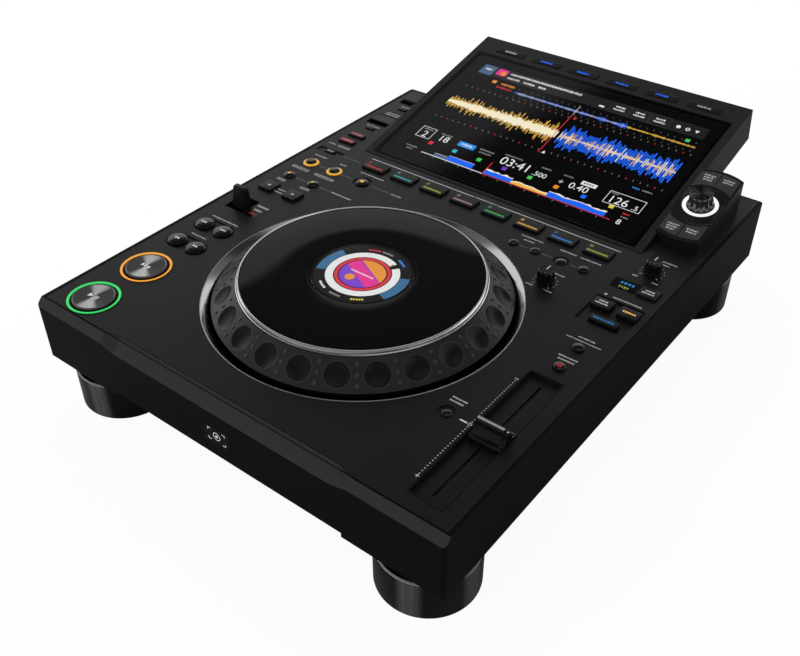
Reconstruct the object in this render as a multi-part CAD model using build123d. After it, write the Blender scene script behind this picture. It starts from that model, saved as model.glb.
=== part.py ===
from build123d import *
import math
import os

# A tabletop media player for a DJ: a low case with a jog wheel, transport and pad keys, a tempo fader
# and a tilted touch screen.
#
# Every piece is drawn in deck coordinates: x from the case's left side, y from its front face and
# z from the deck's top face. to_part_frame() then moves it so that the origin is the centre of the
# whole part's footprint, on the surface that the feet stand on. All sizes are in millimetres.

# ---- Driving dimensions -------------------------------------------------------------------------

# Case
CASE_HEIGHT = 46.0
WHEEL_STRIP = 58.3
SCREEN_STRIP = 41.0
REAR_MARGIN = 22.6
CASE_WALL = 3.0
CASE_FLOOR = 2.5
CASE_CORNER_RADIUS = 2.5
LEDGE_WIDTH = 3.0
LEDGE_HEIGHT = 3.0
FRONT_WALL = 11.5
OVERCUT = 0.2
FRONT_CHAMFER_DEPTH = 5.0
FRONT_CHAMFER_HEIGHT = 4.8
NOSE_CHAMFER_DEPTH = 8.7
NOSE_CHAMFER_HEIGHT = 7.8
NOSE_UNDERCUT = 3.3
NOSE_LEFT = 75.4
NOSE_BLEND = 11.6

# Deck panel
DECK_THICKNESS = 3.0
DECK_SIDE_INSET = 2.0
DECK_SEAM = 0.2
FRONT_LAND = 0.5
BOSS_RADIUS = 3.0
CUT_REACH = 1.4

# Feet
FOOT_RADIUS = 31.7
FOOT_HEIGHT = 36.0
FOOT_NECK_RADIUS = 28.0
FOOT_NECK_HEIGHT = 1.5
FOOT_INSET_X = 33.5
FOOT_INSET_Y = 32.5
FOOT_EDGE_RADIUS = 1.5

# Case screws
SCREW_INSET_X = 7.5
SCREW_INSET_Y = 6.5
SCREW_CUE_SETBACK = 27.3
SCREW_BEAT_SETBACK = 13.7
SCREW_FRONT_Y = 16.0
SCREW_FRONT_SPREAD = 54.5
SCREW_RADIUS = 1.45
SCREW_HOLE_RADIUS = 1.5
SCREW_HEAD_RADIUS = 2.6
SCREW_HEAD_HEIGHT = 1.6
SCREW_HEAD_GAP = 0.2
SCREW_LENGTH = 16.0
SCREW_TIP_GAP = 1.0
SCREW_POST_HEIGHT = 4.0

# Jog wheel
JOG_FRONT_Y = 30.0
BEZEL_GAP = 1.3
BEZEL_WIDTH = 5.9
BEZEL_DROP = 4.0
BEZEL_LIP = 0.8
BEZEL_PROUD = 0.25
BEZEL_PLATE = 1.5
BEZEL_FLANGE = 4.8
WHEEL_RADIUS = 99.0
WHEEL_EDGE_Z = -0.4
WHEEL_EDGE_HEIGHT = 3.0
WHEEL_SLOPE_WIDTH = 16.7
WHEEL_TOP_Z = 13.2
WHEEL_SKIRT = 4.0
WHEEL_WEB = 2.5
WHEEL_WEB_DROP = 4.7
DIMPLE_COUNT = 24
DIMPLE_RADIUS = 8.0
DIMPLE_DEPTH = 1.5
RIM_HEIGHT = 3.4
RIM_SETBACK = 0.3
RIM_TAPER = 1.4
RIM_LAND = 0.9
RIM_BEAD_HEIGHT = 0.7
PLATTER_THICKNESS = 2.7
PLATTER_SEAT = 6.0
WINDOW_RADIUS = 33.6
WINDOW_THICKNESS = 1.5
WINDOW_LEDGE = 1.6
HUB_RADIUS = 12.0
HUB_BOTTOM_Z = -12.0
SPINDLE_RADIUS = 6.0
SPINDLE_CLEARANCE = 0.05
BEARING_FLANGE_RADIUS = 40.0
BEARING_FLANGE = 3.5
BEARING_COLUMN_RADIUS = 14.0
DIAL_SIDE_GAP = 0.5
DIAL_THICKNESS = 2.0
DIAL_GAP = 0.3

# Push keys
KEY_HOLE_GAP = 0.35
KEY_FLANGE = 1.0
KEY_FLANGE_HEIGHT = 1.5
KEY_TRAVEL = 0.9
KEY_STEM = 2.0
KEY_STEM_RADIUS = 1.6
KEY_EDGE = 0.35
SWITCH_GAP = 0.2
SWITCH_SIZE = 5.0

# Play and cue
PLAY_X = 29.0
PLAY_Y = 24.6
CUE_SETBACK = 44.1
PLAY_CAP_RADIUS = 14.6
PLAY_CAP_TOP = 1.6
PLAY_RING_RADIUS = 17.6
PLAY_RING_TOP = 0.8
PLAY_RING_FLANGE = 1.6
PLAY_STEM = 0.8
PLAY_BAY_GAP = 0.5
PLAY_BAY_DEPTH = 9.0

# Search and track keys, in two pairs
SEARCH_X = 29.2
SEARCH_SPREAD = 9.2
SEARCH_SETBACK = 36.3
TRACK_SETBACK = 26.2
SEARCH_RADIUS = 7.2
SEARCH_TOP = 2.0
SEARCH_RECESS_MARGIN = 1.2
SEARCH_RECESS_DEPTH = 0.8

# Direction lever
LEVER_X = 21.4
LEVER_SETBACK = 36.7
LEVER_WIDTH = 13.0
LEVER_BASE = 8.6
LEVER_TIP = 4.0
LEVER_TOP = 15.0
LEVER_TAPER = 1.6
LEVER_AXIS_Z = -8.0
LEVER_HUB_RADIUS = 3.5
LEVER_PIN_RADIUS = 2.0
LEVER_PIN_LENGTH = 3.0
LEVER_PIN_CLEARANCE = 0.05
LEVER_SIDE_GAP = 0.6
LEVER_EAR = 2.5
LEVER_EAR_RADIUS = 4.0
LEVER_SLOT_WIDTH = 18.0
LEVER_SLOT_DEPTH = 19.0

# Square and small round keys at the left
COLUMN_LEFT_X = 20.0
COLUMN_RIGHT_X = 44.2
JUMP_SETBACK = 30.5
JUMP_WIDTH = 12.6
JUMP_DEPTH = 12.2
JUMP_TOP = 2.0
BEAT_SETBACK = 22.6
BEAT_RADIUS = 4.8
BEAT_TOP = 2.0
LOOP_ROW_GAP = 21.4
LOOP_SETBACK = 3.9
LOOP_RADIUS = 6.4
LOOP_TOP = 2.4
RELOOP_X = 72.6
RELOOP_RADIUS = 4.9
RELOOP_TOP = 1.4
RELOOP_RECESS_RADIUS = 7.7
RING_RECESS_DEPTH = 0.8

# Keys at the upper left
SOURCE_X = 19.7
SOURCE_SETBACK = 23.5
SOURCE_WIDTH = 8.6
SOURCE_DEPTH = 4.2
SOURCE_TOP = 0.6
SOURCE_RECESS_WIDTH = 24.8
SOURCE_RECESS_DEPTH = 7.0
RED_WIDTH = 14.8
RED_DEPTH = 5.6
RED_TOP = 1.4
RED_SETBACK = 21.2
RED_PITCH = 12.8
STOP_WIDTH = 8.0
STOP_DEPTH = 3.2
STOP_TOP = 0.9
FRONT_STOP_SETBACK = 17.2
REAR_STOP_SETBACK = 17.0

# Storage ports at the upper left
PORT_X = 18.2
PORT_WIDTH = 20.6
PORT_SETBACK = 8.6
PORT_LENGTH = 18.8
PORT_DEPTH = 13.5
PORT_WALL = 1.6
LID_SETBACK = 7.2
LID_THICKNESS = 1.2
LID_GAP = 0.4
LID_BARREL_RADIUS = 1.1
LID_PIN_RADIUS = 0.7
LID_PIN_LENGTH = 1.2
CARD_X = 14.4
CARD_WIDTH = 13.4
CARD_SETBACK = 10.0
CARD_LENGTH = 7.0
CARD_DEPTH = 12.0

# Pad keys
PAD_COUNT = 8
PAD_ROW_OFFSET = 1.21
PAD_PITCH = 28.26
PAD_SETBACK = 28.4
PAD_WIDTH = 20.2
PAD_DEPTH = 11.8
PAD_TOP = 1.8

# Memory row, with each key's distance from the case's right side
MEMORY_ROW_SETBACK = 3.8
CALL_INSETS = (118.4, 100.7)
CALL_RADIUS = 3.8
CALL_TOP = 1.9
DELETE_INSET = 79.9
DELETE_RADIUS = 4.2
DELETE_TOP = 0.5
DELETE_RECESS_RADIUS = 5.7
MEMORY_INSET = 62.6
MEMORY_RADIUS = 3.9
MEMORY_TOP = 1.6

# Rotary knobs
FEEL_INSET = 76.4
FEEL_FORWARD = 23.0
SPEED_INSET = 24.5
SPEED_SETBACK = 24.6
KNOB_RADIUS = 6.0
KNOB_TOP_RADIUS = 5.3
KNOB_TOP = 9.5
KNOB_GAP = 0.5
KNOB_SHAFT_RADIUS = 3.0
KNOB_SHAFT_CLEARANCE = 0.05
KNOB_FLUTES = 12
KNOB_FLUTE_RADIUS = 0.9

# Mode key and sync tray at the right
MODE_INSET = 14.7
MODE_SETBACK = 19.1
MODE_WIDTH = 13.4
MODE_DEPTH = 11.0
MODE_TOP = 1.5
TRAY_INSET = 7.4
TRAY_WIDTH = 34.4
TRAY_SETBACK = 26.7
TRAY_LENGTH = 30.6
TRAY_DEPTH = 1.4
SYNC_TOP = 1.8
SYNC_WIDTH = 13.6
SYNC_DEPTH = 9.8
SYNC_REAR_GAP = 3.9
SYNC_SIDE_GAP = 1.5
MASTER_SIDE_GAP = 0.5
KEYSYNC_FRONT_GAP = 2.5
KEYSYNC_WIDTH = 19.4
KEYSYNC_DEPTH = 5.8

# Tempo keys and fader
TEMPO_INSET = 23.8
MASTER_TEMPO_SETBACK = 12.6
RANGE_SETBACK = 22.3
TEMPO_KEY_RADIUS = 3.9
TEMPO_KEY_TOP = 2.0
RESET_INSET = 54.2
RESET_RADIUS = 3.3
RESET_TOP = 0.5
RESET_RECESS_RADIUS = 6.1
FADER_INSET = 24.6
FADER_WALL_GAP = 1.7
FADER_TRAY_WIDTH = 21.8
FADER_TRAY_END = 1.2
FADER_TRAY_DEPTH = 3.0
FADER_TRAY_CORNER = 1.5
FADER_TRAY_FLOOR = 1.6
FADER_TRAVEL = 100.0
FADER_SLOT_WIDTH = 1.8
FADER_STEM_WIDTH = 1.2
FADER_STEM_LENGTH = 4.0
FADER_CAP_WIDTH = 18.4
FADER_CAP_LENGTH = 17.2
FADER_CAP_TOP = 9.0
FADER_CAP_LIP = 0.3
FADER_CAP_TOE = 4.0
FADER_CAP_SHOULDER = 1.2
FADER_RIDGE = 2.6
FADER_FLOOR_GAP = 0.5
FADER_CHEEK_WIDTH = 1.8
FADER_CHEEK_TOP = 8.4
FADER_NECK_WIDTH = 0.8
FADER_NECK_DROP = 1.6
FADER_NECK_RISE = 0.6
FADER_STEM_DROP = 4.0
FADER_TRACK_WIDTH = 13.0
FADER_TRACK_END = 13.0
FADER_TRACK_HEIGHT = 12.0
FADER_TRACK_WALL = 1.2

# Screen housing, in its own tilted frame: u across, v up the slope and w out of the bezel's face
SCREEN_TILT = 12.84
SCREEN_SETBACK = 48.2
SCREEN_FRONT_Z = 1.0
HOUSING_BORDER = 6.6
HOUSING_LIP = 2.7
HOUSING_HEAD = 22.6
HOUSING_THICKNESS = 28.0
HOUSING_WALL = 2.5
HOUSING_TUB_INSET = 5.0
HOUSING_FRONT_INSET = 1.5
HOUSING_TUB_DROP = 8.0
HOUSING_REAR_GAP = 0.3
GLASS_WIDTH = 233.8
GLASS_HEIGHT = 155.0
GLASS_THICKNESS = 1.8
GLASS_GAP = 0.15
DISPLAY_SIDE = 2.9
DISPLAY_END = 4.0
DISPLAY_THICKNESS = 4.0
SCREEN_KEY_COUNT = 6
SCREEN_KEY_INSET = 33.75
SCREEN_KEY_WIDTH = 27.2
SCREEN_KEY_HEIGHT = 6.4
SCREEN_KEY_SETBACK = 8.8
SCREEN_KEY_TOP = 0.5
SCREEN_KEY_GAP = 0.3

# Selector pod beside the screen, in the same tilted frame
POD_OFFSET = 14.3
POD_V = 57.2
POD_TOP_W = 3.0
POD_RADIUS = 38.4
POD_LAP = 1.2
POD_RIGHT_U = 16.3
POD_WALL = 0.9
POD_TOP_PLATE = 2.0
POD_KEY_INNER_RADIUS = 22.8
POD_KEY_OUTER_RADIUS = 36.4
POD_KEY_HALF_WIDTH = 14.6
POD_FLANGE_HALF_WIDTH = 13.0
POD_KEY_SPLIT = 0.8
POD_KEY_TOP = 0.3
POD_KEY_GAP = 0.25
POD_KEY_LIP = 0.7
RING_OUTER_RADIUS = 12.6
RING_INNER_RADIUS = 9.9
SELECTOR_RADIUS = 9.2
SELECTOR_TOP_RADIUS = 7.6
SELECTOR_HEIGHT = 11.5
SELECTOR_FACETS = 12
SELECTOR_SHAFT_RADIUS = 3.0
SELECTOR_SHAFT_CLEARANCE = 0.05
SELECTOR_SHAFT_LENGTH = 9.0
ENCODER_SIZE = 13.0
SELECTOR_GAP = 0.4

# Boards inside
BOARD_THICKNESS = 1.6
BOARD_TOP = -9.4
BOARD_BOSS_RADIUS = 2.0
LEFT_BOARD_INSET = 11.5
LEFT_BOARD_RIGHT = 52.0
LEFT_BOARD_FRONT = 12.5
LEFT_BOARD_MARGIN = 5.0
REAR_BOARD_GAP = 2.0
REAR_BOARD_FORWARD = 2.4
REAR_BOARD_LENGTH = 46.0
LEFT_EAR_WIDTH = 10.0
LEFT_EAR_LENGTH = 18.0
RIGHT_EAR_WIDTH = 44.5
RIGHT_EAR_LENGTH = 40.0
RIGHT_BOARD_GAP = 1.0
RIGHT_BOARD_INSET = 11.0
RIGHT_BOARD_WIDTH = 40.5
RIGHT_BOARD_MARGIN = 8.6
RESET_BOARD_INSET = 63.0
RESET_BOARD_WIDTH = 24.0
RESET_BOARD_FORWARD = 14.0

# Bosses that carry the key boards: the left and rear rows' places, and insets from the right side
LEFT_BOSSES = ((48.0, 44.0), (48.0, 92.0), (16.0, 148.0), (48.0, 148.0), (16.0, 236.0))
REAR_BOSSES = ((58.0, -14.4), (90.0, 3.6), (150.0, 9.6), (190.0, 9.6))
REAR_RIGHT_BOSSES = ((91.0, -10.4), (57.0, 10.6), (37.0, 19.6))
RIGHT_BOSSES = ((55.0, 90.0), (44.0, 150.0), (47.0, 178.0))
LEVER_NOTCH_WIDTH = 26.0
LEVER_NOTCH_DEPTH = 14.0

# Main board and its parts
MAIN_BOARD_LEFT = 16.0
MAIN_BOARD_GAP = 18.0
MAIN_BOARD_FORWARD = 21.0
MAIN_BOARD_LENGTH = 128.0
MAIN_BOARD_RISE = 4.0
STANDOFF_INSET = 8.0
PROCESSOR_X = 90.0
PROCESSOR_SETBACK = 64.0
PROCESSOR_SIZE = 28.0
PROCESSOR_HEIGHT = 2.4
HEAT_SINK_SIZE = 24.0
HEAT_SINK_HEIGHT = 6.6
MEMORY_CHIP_X = 130.0
MEMORY_CHIP_SETBACK = 44.0
MEMORY_CHIP_PITCH = 14.0
MEMORY_CHIP_COUNT = 4
MEMORY_CHIP_WIDTH = 14.0
MEMORY_CHIP_DEPTH = 10.0
MEMORY_CHIP_HEIGHT = 1.2
CONNECTOR_X = 170.0
CONNECTOR_SETBACK = 14.0
CONNECTOR_WIDTH = 40.0
CONNECTOR_DEPTH = 5.0
CONNECTOR_HEIGHT = 6.0

# Power supply
POWER_WIDTH = 97.0
POWER_DEPTH = 100.0
POWER_HEIGHT = 27.0
POWER_GAP = 6.0
POWER_EDGE = 1.0

# Rear sockets
SOCKET_Z = -26.0
INLET_INSET = 44.0
INLET_WIDTH = 30.0
INLET_HEIGHT = 23.0
INLET_DEPTH = 22.0
INLET_BORE_WIDTH = 24.4
INLET_BORE_HEIGHT = 17.0
INLET_BORE_DEPTH = 16.0
INLET_PIN_WIDTH = 2.2
INLET_PIN_HEIGHT = 4.0
INLET_PIN_SPREAD = 7.0
INLET_PIN_RAISE = 4.0
INLET_PIN_SHORT = 2.0
PHONO_X = (52.0, 68.0, 92.0)
PHONO_RADIUS = 4.15
PHONO_BORE_RADIUS = 1.6
PHONO_LENGTH = 9.0
PHONO_BODY = 12.0
LAN_X = 122.0
LAN_WIDTH = 17.0
LAN_HEIGHT = 14.5
LAN_BORE_WIDTH = 12.0
LAN_BORE_HEIGHT = 8.0
LAN_DEPTH = 20.0
LAN_BORE_DEPTH = 14.0
SOCKET_GAP = 0.2

# Socket inside the storage port
USB_WIDTH = 14.4
USB_DEPTH = 6.0
USB_HEIGHT = 7.5
USB_WALL = 0.8
USB_TONGUE = 1.8
USB_FRONT_GAP = 0.8

# ---- Derived places -----------------------------------------------------------------------------

TILT = math.radians(SCREEN_TILT)
DECK_UNDERSIDE = -DECK_THICKNESS

# The jog wheel's rings, each from the one outside or inside it
BEZEL_INNER_RADIUS = WHEEL_RADIUS + BEZEL_GAP
BEZEL_OUTER_RADIUS = BEZEL_INNER_RADIUS + BEZEL_WIDTH
WHEEL_TOP_RADIUS = WHEEL_RADIUS - WHEEL_SLOPE_WIDTH
RIM_FOOT_RADIUS = WHEEL_TOP_RADIUS - RIM_SETBACK
RIM_TOP_RADIUS = RIM_FOOT_RADIUS - RIM_TAPER
PLATTER_RADIUS = RIM_TOP_RADIUS - RIM_LAND
RIM_TOP_Z = WHEEL_TOP_Z + RIM_HEIGHT
PLATTER_TOP_Z = WHEEL_TOP_Z + PLATTER_THICKNESS
DIAL_RADIUS = WINDOW_RADIUS - WINDOW_LEDGE - DIAL_SIDE_GAP
DIAL_TOP_Z = PLATTER_TOP_Z - WINDOW_THICKNESS - DIAL_GAP
WHEEL_WEB_TOP = WHEEL_TOP_Z - WHEEL_WEB_DROP
WHEEL_WEB_BOTTOM = WHEEL_WEB_TOP - WHEEL_WEB

# The case is as wide as the wider of its two rows: the wheel between two key strips, or the screen
# housing between the ports and the selector pod
HOUSING_WIDTH = GLASS_WIDTH + 2 * HOUSING_BORDER
HOUSING_LENGTH = GLASS_HEIGHT + HOUSING_HEAD
CASE_WIDTH = max(2 * (BEZEL_OUTER_RADIUS + WHEEL_STRIP), HOUSING_WIDTH + 2 * SCREEN_STRIP)
CENTRE_X = CASE_WIDTH / 2
JOG_X = CENTRE_X
JOG_Y = JOG_FRONT_Y + BEZEL_OUTER_RADIUS

# The left column of keys, from the front to the rear
CUE_Y = PLAY_Y + CUE_SETBACK
SEARCH_Y = CUE_Y + SEARCH_SETBACK
TRACK_Y = SEARCH_Y + TRACK_SETBACK
LEVER_Y = TRACK_Y + LEVER_SETBACK
JUMP_Y = LEVER_Y + JUMP_SETBACK
BEAT_Y = JUMP_Y + BEAT_SETBACK
ROW_LINE = max(JOG_Y + BEZEL_OUTER_RADIUS, BEAT_Y + LOOP_ROW_GAP)
LOOP_Y = ROW_LINE + LOOP_SETBACK
SOURCE_Y = LOOP_Y + SOURCE_SETBACK
RED_Y = (SOURCE_Y + RED_SETBACK, SOURCE_Y + RED_SETBACK + RED_PITCH)
FRONT_STOP_Y = RED_Y[1] + FRONT_STOP_SETBACK
PORT_FRONT_Y = FRONT_STOP_Y + PORT_SETBACK
PORT_REAR_Y = PORT_FRONT_Y + PORT_LENGTH
LID_FRONT_Y = PORT_FRONT_Y + LID_SETBACK
REAR_STOP_Y = PORT_REAR_Y + REAR_STOP_SETBACK
STOP_Y = (FRONT_STOP_Y, REAR_STOP_Y)
CARD_FRONT_Y = REAR_STOP_Y + CARD_SETBACK
CARD_REAR_Y = CARD_FRONT_Y + CARD_LENGTH
CASE_DEPTH = CARD_REAR_Y + REAR_MARGIN
SCREW_SIDE_Y = (CUE_Y + SCREW_CUE_SETBACK, BEAT_Y + SCREW_BEAT_SETBACK, CASE_DEPTH - SCREW_INSET_Y)

# The rows behind the wheel
PAD_Y = ROW_LINE + PAD_SETBACK
PAD_FIRST_X = CENTRE_X + PAD_ROW_OFFSET - PAD_PITCH * (PAD_COUNT - 1) / 2
SCREEN_FRONT_Y = ROW_LINE + SCREEN_SETBACK
MEMORY_ROW_Y = ROW_LINE + MEMORY_ROW_SETBACK
CALL_X = [CASE_WIDTH - inset for inset in CALL_INSETS]
DELETE_X = CASE_WIDTH - DELETE_INSET
MEMORY_X = CASE_WIDTH - MEMORY_INSET
FEEL_X = CASE_WIDTH - FEEL_INSET
FEEL_Y = ROW_LINE - FEEL_FORWARD

# The right column, from the fader to the speed knob
FADER_TRAY_LENGTH = FADER_TRAVEL + FADER_CAP_LENGTH + 2 * FADER_TRAY_END
FADER_TRACK_LENGTH = FADER_TRAVEL + 2 * FADER_TRACK_END
FADER_X = CASE_WIDTH - FADER_INSET
FADER_Y = FRONT_WALL + FADER_WALL_GAP + FADER_TRACK_LENGTH / 2
RESET_X = CASE_WIDTH - RESET_INSET
RESET_Y = FADER_Y
TEMPO_X = CASE_WIDTH - TEMPO_INSET
MASTER_TEMPO_Y = FADER_Y + FADER_TRAY_LENGTH / 2 + MASTER_TEMPO_SETBACK
RANGE_Y = MASTER_TEMPO_Y + RANGE_SETBACK
TRAY_RIGHT = CASE_WIDTH - TRAY_INSET
TRAY_LEFT = TRAY_RIGHT - TRAY_WIDTH
TRAY_FRONT = RANGE_Y + TRAY_SETBACK
TRAY_REAR = TRAY_FRONT + TRAY_LENGTH
SYNC_Y = TRAY_REAR - SYNC_REAR_GAP - SYNC_DEPTH / 2
SYNC_X = TRAY_LEFT + SYNC_SIDE_GAP + SYNC_WIDTH / 2
MASTER_X = TRAY_RIGHT - MASTER_SIDE_GAP - SYNC_WIDTH / 2
KEYSYNC_X = TEMPO_X
KEYSYNC_Y = TRAY_FRONT + KEYSYNC_FRONT_GAP + KEYSYNC_DEPTH / 2
MODE_X = CASE_WIDTH - MODE_INSET
MODE_Y = TRAY_REAR + MODE_SETBACK
SPEED_X = CASE_WIDTH - SPEED_INSET
SPEED_Y = MODE_Y + SPEED_SETBACK

# The screen and the pod beside it
DISPLAY_WIDTH = GLASS_WIDTH - 2 * DISPLAY_SIDE
DISPLAY_HEIGHT = GLASS_HEIGHT - 2 * DISPLAY_END
HOUSING_RIGHT_U = HOUSING_WIDTH / 2
SCREEN_KEY_PITCH = 2 * (HOUSING_RIGHT_U - SCREEN_KEY_INSET) / (SCREEN_KEY_COUNT - 1)
SCREEN_KEY_V = GLASS_HEIGHT + SCREEN_KEY_SETBACK
POD_U = HOUSING_RIGHT_U + POD_OFFSET
SELECTOR_TOP_W = POD_TOP_W + SELECTOR_HEIGHT

# The boards, each as left, right, front and rear edge
LEFT_BOARD = (LEFT_BOARD_INSET, LEFT_BOARD_RIGHT, LEFT_BOARD_FRONT, FRONT_STOP_Y + LEFT_BOARD_MARGIN)
REAR_BOARD_LEFT = LEFT_BOARD_RIGHT + REAR_BOARD_GAP
RIGHT_BOARD_RIGHT = CASE_WIDTH - RIGHT_BOARD_INSET
RIGHT_BOARD_LEFT = RIGHT_BOARD_RIGHT - RIGHT_BOARD_WIDTH
REAR_BOARD_RIGHT = RIGHT_BOARD_LEFT - RIGHT_BOARD_GAP
REAR_BOARD_FRONT = ROW_LINE - REAR_BOARD_FORWARD
REAR_BOARD_REAR = REAR_BOARD_FRONT + REAR_BOARD_LENGTH
REAR_BOARD = (REAR_BOARD_LEFT, REAR_BOARD_RIGHT, REAR_BOARD_FRONT, REAR_BOARD_REAR)
REAR_BOARD_LEFT_EAR = (REAR_BOARD_LEFT, REAR_BOARD_LEFT + LEFT_EAR_WIDTH,
                       REAR_BOARD_FRONT - LEFT_EAR_LENGTH, REAR_BOARD_FRONT)
REAR_BOARD_RIGHT_EAR = (REAR_BOARD_RIGHT - RIGHT_EAR_WIDTH, REAR_BOARD_RIGHT,
                        REAR_BOARD_FRONT - RIGHT_EAR_LENGTH, REAR_BOARD_FRONT)
RIGHT_BOARD_FRONT = MASTER_TEMPO_Y - RIGHT_BOARD_MARGIN
RIGHT_BOARD = (RIGHT_BOARD_LEFT, RIGHT_BOARD_RIGHT, RIGHT_BOARD_FRONT, REAR_BOARD_REAR)
RESET_BOARD_LEFT = CASE_WIDTH - RESET_BOARD_INSET
RIGHT_BOARD_EAR = (RESET_BOARD_LEFT, RESET_BOARD_LEFT + RESET_BOARD_WIDTH,
                   RESET_Y - RESET_BOARD_FORWARD, RIGHT_BOARD_FRONT)
BOARD_BOSSES = list(LEFT_BOSSES)
BOARD_BOSSES += [(x, ROW_LINE + y) for x, y in REAR_BOSSES]
BOARD_BOSSES += [(CASE_WIDTH - inset, ROW_LINE + y) for inset, y in REAR_RIGHT_BOSSES]
BOARD_BOSSES += [(CASE_WIDTH - inset, y) for inset, y in RIGHT_BOSSES]

# The main board beside the power supply, and the mains inlet
POWER_RIGHT = CASE_WIDTH - CASE_WALL - POWER_GAP
POWER_LEFT = POWER_RIGHT - POWER_WIDTH
MAIN_BOARD_REAR = CASE_DEPTH - MAIN_BOARD_FORWARD
MAIN_BOARD_FRONT = MAIN_BOARD_REAR - MAIN_BOARD_LENGTH
MAIN_BOARD = (MAIN_BOARD_LEFT, POWER_LEFT - MAIN_BOARD_GAP, MAIN_BOARD_FRONT, MAIN_BOARD_REAR)
PROCESSOR_Y = MAIN_BOARD_FRONT + PROCESSOR_SETBACK
MEMORY_CHIP_Y = MAIN_BOARD_FRONT + MEMORY_CHIP_SETBACK
CONNECTOR_Y = MAIN_BOARD_FRONT + CONNECTOR_SETBACK
INLET_X = CASE_WIDTH - INLET_INSET

# Heights and the ends of things
FLOOR_TOP = -CASE_HEIGHT + CASE_FLOOR
FOOT_BOTTOM = -CASE_HEIGHT - FOOT_HEIGHT
KEY_BOTTOM = DECK_UNDERSIDE - KEY_FLANGE_HEIGHT - KEY_STEM
PLAY_SEAT = DECK_UNDERSIDE - PLAY_RING_FLANGE
PLAY_BOTTOM = PLAY_SEAT - KEY_FLANGE_HEIGHT - PLAY_STEM
SCREW_POST_TOP = FLOOR_TOP + SCREW_HEAD_HEIGHT + SCREW_POST_HEIGHT
PART_DEPTH = (SCREEN_FRONT_Y + HOUSING_LENGTH * math.cos(TILT)
              + HOUSING_THICKNESS * math.sin(TILT))
NOSE_RIGHT = CASE_WIDTH - NOSE_LEFT
SEARCH_PAIR_X = (SEARCH_X - SEARCH_SPREAD, SEARCH_X + SEARCH_SPREAD)
COLUMN_X = (COLUMN_LEFT_X, COLUMN_RIGHT_X)
PAD_X = [PAD_FIRST_X + i * PAD_PITCH for i in range(PAD_COUNT)]
SCREEN_KEY_U = [(i - (SCREEN_KEY_COUNT - 1) / 2) * SCREEN_KEY_PITCH for i in range(SCREEN_KEY_COUNT)]
FADER_TRACK_TOP = -FADER_TRAY_DEPTH - FADER_TRAY_FLOOR
LID_AXIS_Y = PORT_REAR_Y - LID_GAP - LID_BARREL_RADIUS
LID_AXIS_Z = -LID_BARREL_RADIUS

# ---- Helpers ------------------------------------------------------------------------------------


def to_part_frame(shape):
    """Move a piece from deck coordinates to the part's own frame."""
    return Pos(-CENTRE_X, -PART_DEPTH / 2, -FOOT_BOTTOM) * shape


def block(x0, x1, y0, y1, z0, z1):
    """A box between two corners."""
    return Pos((x0 + x1) / 2, (y0 + y1) / 2, (z0 + z1) / 2) * Box(x1 - x0, y1 - y0, z1 - z0)


def bar(x, y, width, depth, z0, z1):
    """A box centred on a place on the deck."""
    return block(x - width / 2, x + width / 2, y - depth / 2, y + depth / 2, z0, z1)


def rod(x, y, radius, z0, z1):
    """An upright cylinder."""
    return Pos(x, y, (z0 + z1) / 2) * Cylinder(radius, z1 - z0)


def cross_rod(y, z, radius, x0, x1):
    """A cylinder that lies along x."""
    return Pos((x0 + x1) / 2, y, z) * (Rot(0, 90, 0) * Cylinder(radius, x1 - x0))


def stadium(x, y, length, width, z0, z1):
    """A long round-ended block along x."""
    straight = length - width
    shape = bar(x, y, straight, width, z0, z1)
    for side in (-1, 1):
        shape += rod(x + side * straight / 2, y, width / 2, z0, z1)
    return shape


def turned(x, y, points):
    """A solid of revolution about an upright axis, from (radius, z) points."""
    face = make_face(Plane.XZ * Polyline(*points, close=True))
    return Pos(x, y, 0) * revolve(face, Axis.Z)


def side_prism(points, x0, x1):
    """A prism along x, from (y, z) points."""
    face = make_face(Plane.YZ * Polyline(*points, close=True))
    return Pos(x0, 0, 0) * extrude(face, x1 - x0, dir=(1, 0, 0))


def on_screen(shape, u=0.0, v=0.0, w=0.0):
    """Place a piece that is drawn on the bezel's face: u across, v up the slope, w outwards."""
    frame = Pos(CENTRE_X, SCREEN_FRONT_Y, SCREEN_FRONT_Z) * Rot(SCREEN_TILT, 0, 0)
    return frame * (Pos(u, v, w) * shape)


def screen_block(u0, u1, v0, v1, w0, w1):
    """A box in the screen's tilted frame."""
    return on_screen(block(u0, u1, v0, v1, w0, w1))


# ---- Key shapes ---------------------------------------------------------------------------------


def round_key(x, y, radius, top, seat=DECK_UNDERSIDE, bottom=KEY_BOTTOM):
    """A round cap through the deck, with a flange under it and a stem over its switch."""
    under = seat - KEY_FLANGE_HEIGHT
    return turned(x, y, [
        (0, top), (radius - KEY_EDGE, top), (radius, top - KEY_EDGE), (radius, seat),
        (radius + KEY_FLANGE, seat), (radius + KEY_FLANGE, under), (KEY_STEM_RADIUS, under),
        (KEY_STEM_RADIUS, bottom), (0, bottom),
    ])


def bar_key(x, y, width, depth, top):
    """A rectangular cap through the deck, with a flange under it and a stem over its switch."""
    seat = DECK_UNDERSIDE
    under = seat - KEY_FLANGE_HEIGHT
    cap = bar(x, y, width, depth, seat, top)
    cap = chamfer(cap.faces().sort_by(Axis.Z)[-1].edges(), KEY_EDGE)
    flange = bar(x, y, width + 2 * KEY_FLANGE, depth + 2 * KEY_FLANGE, under, seat)
    return cap + flange + rod(x, y, KEY_STEM_RADIUS, KEY_BOTTOM, under)


def round_hole(x, y, radius):
    """The deck's hole for a round key."""
    return rod(x, y, radius + KEY_HOLE_GAP, DECK_UNDERSIDE - CUT_REACH, CUT_REACH)


def bar_hole(x, y, width, depth):
    """The deck's hole for a rectangular key."""
    gap = 2 * KEY_HOLE_GAP
    return bar(x, y, width + gap, depth + gap, DECK_UNDERSIDE - CUT_REACH, CUT_REACH)


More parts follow.
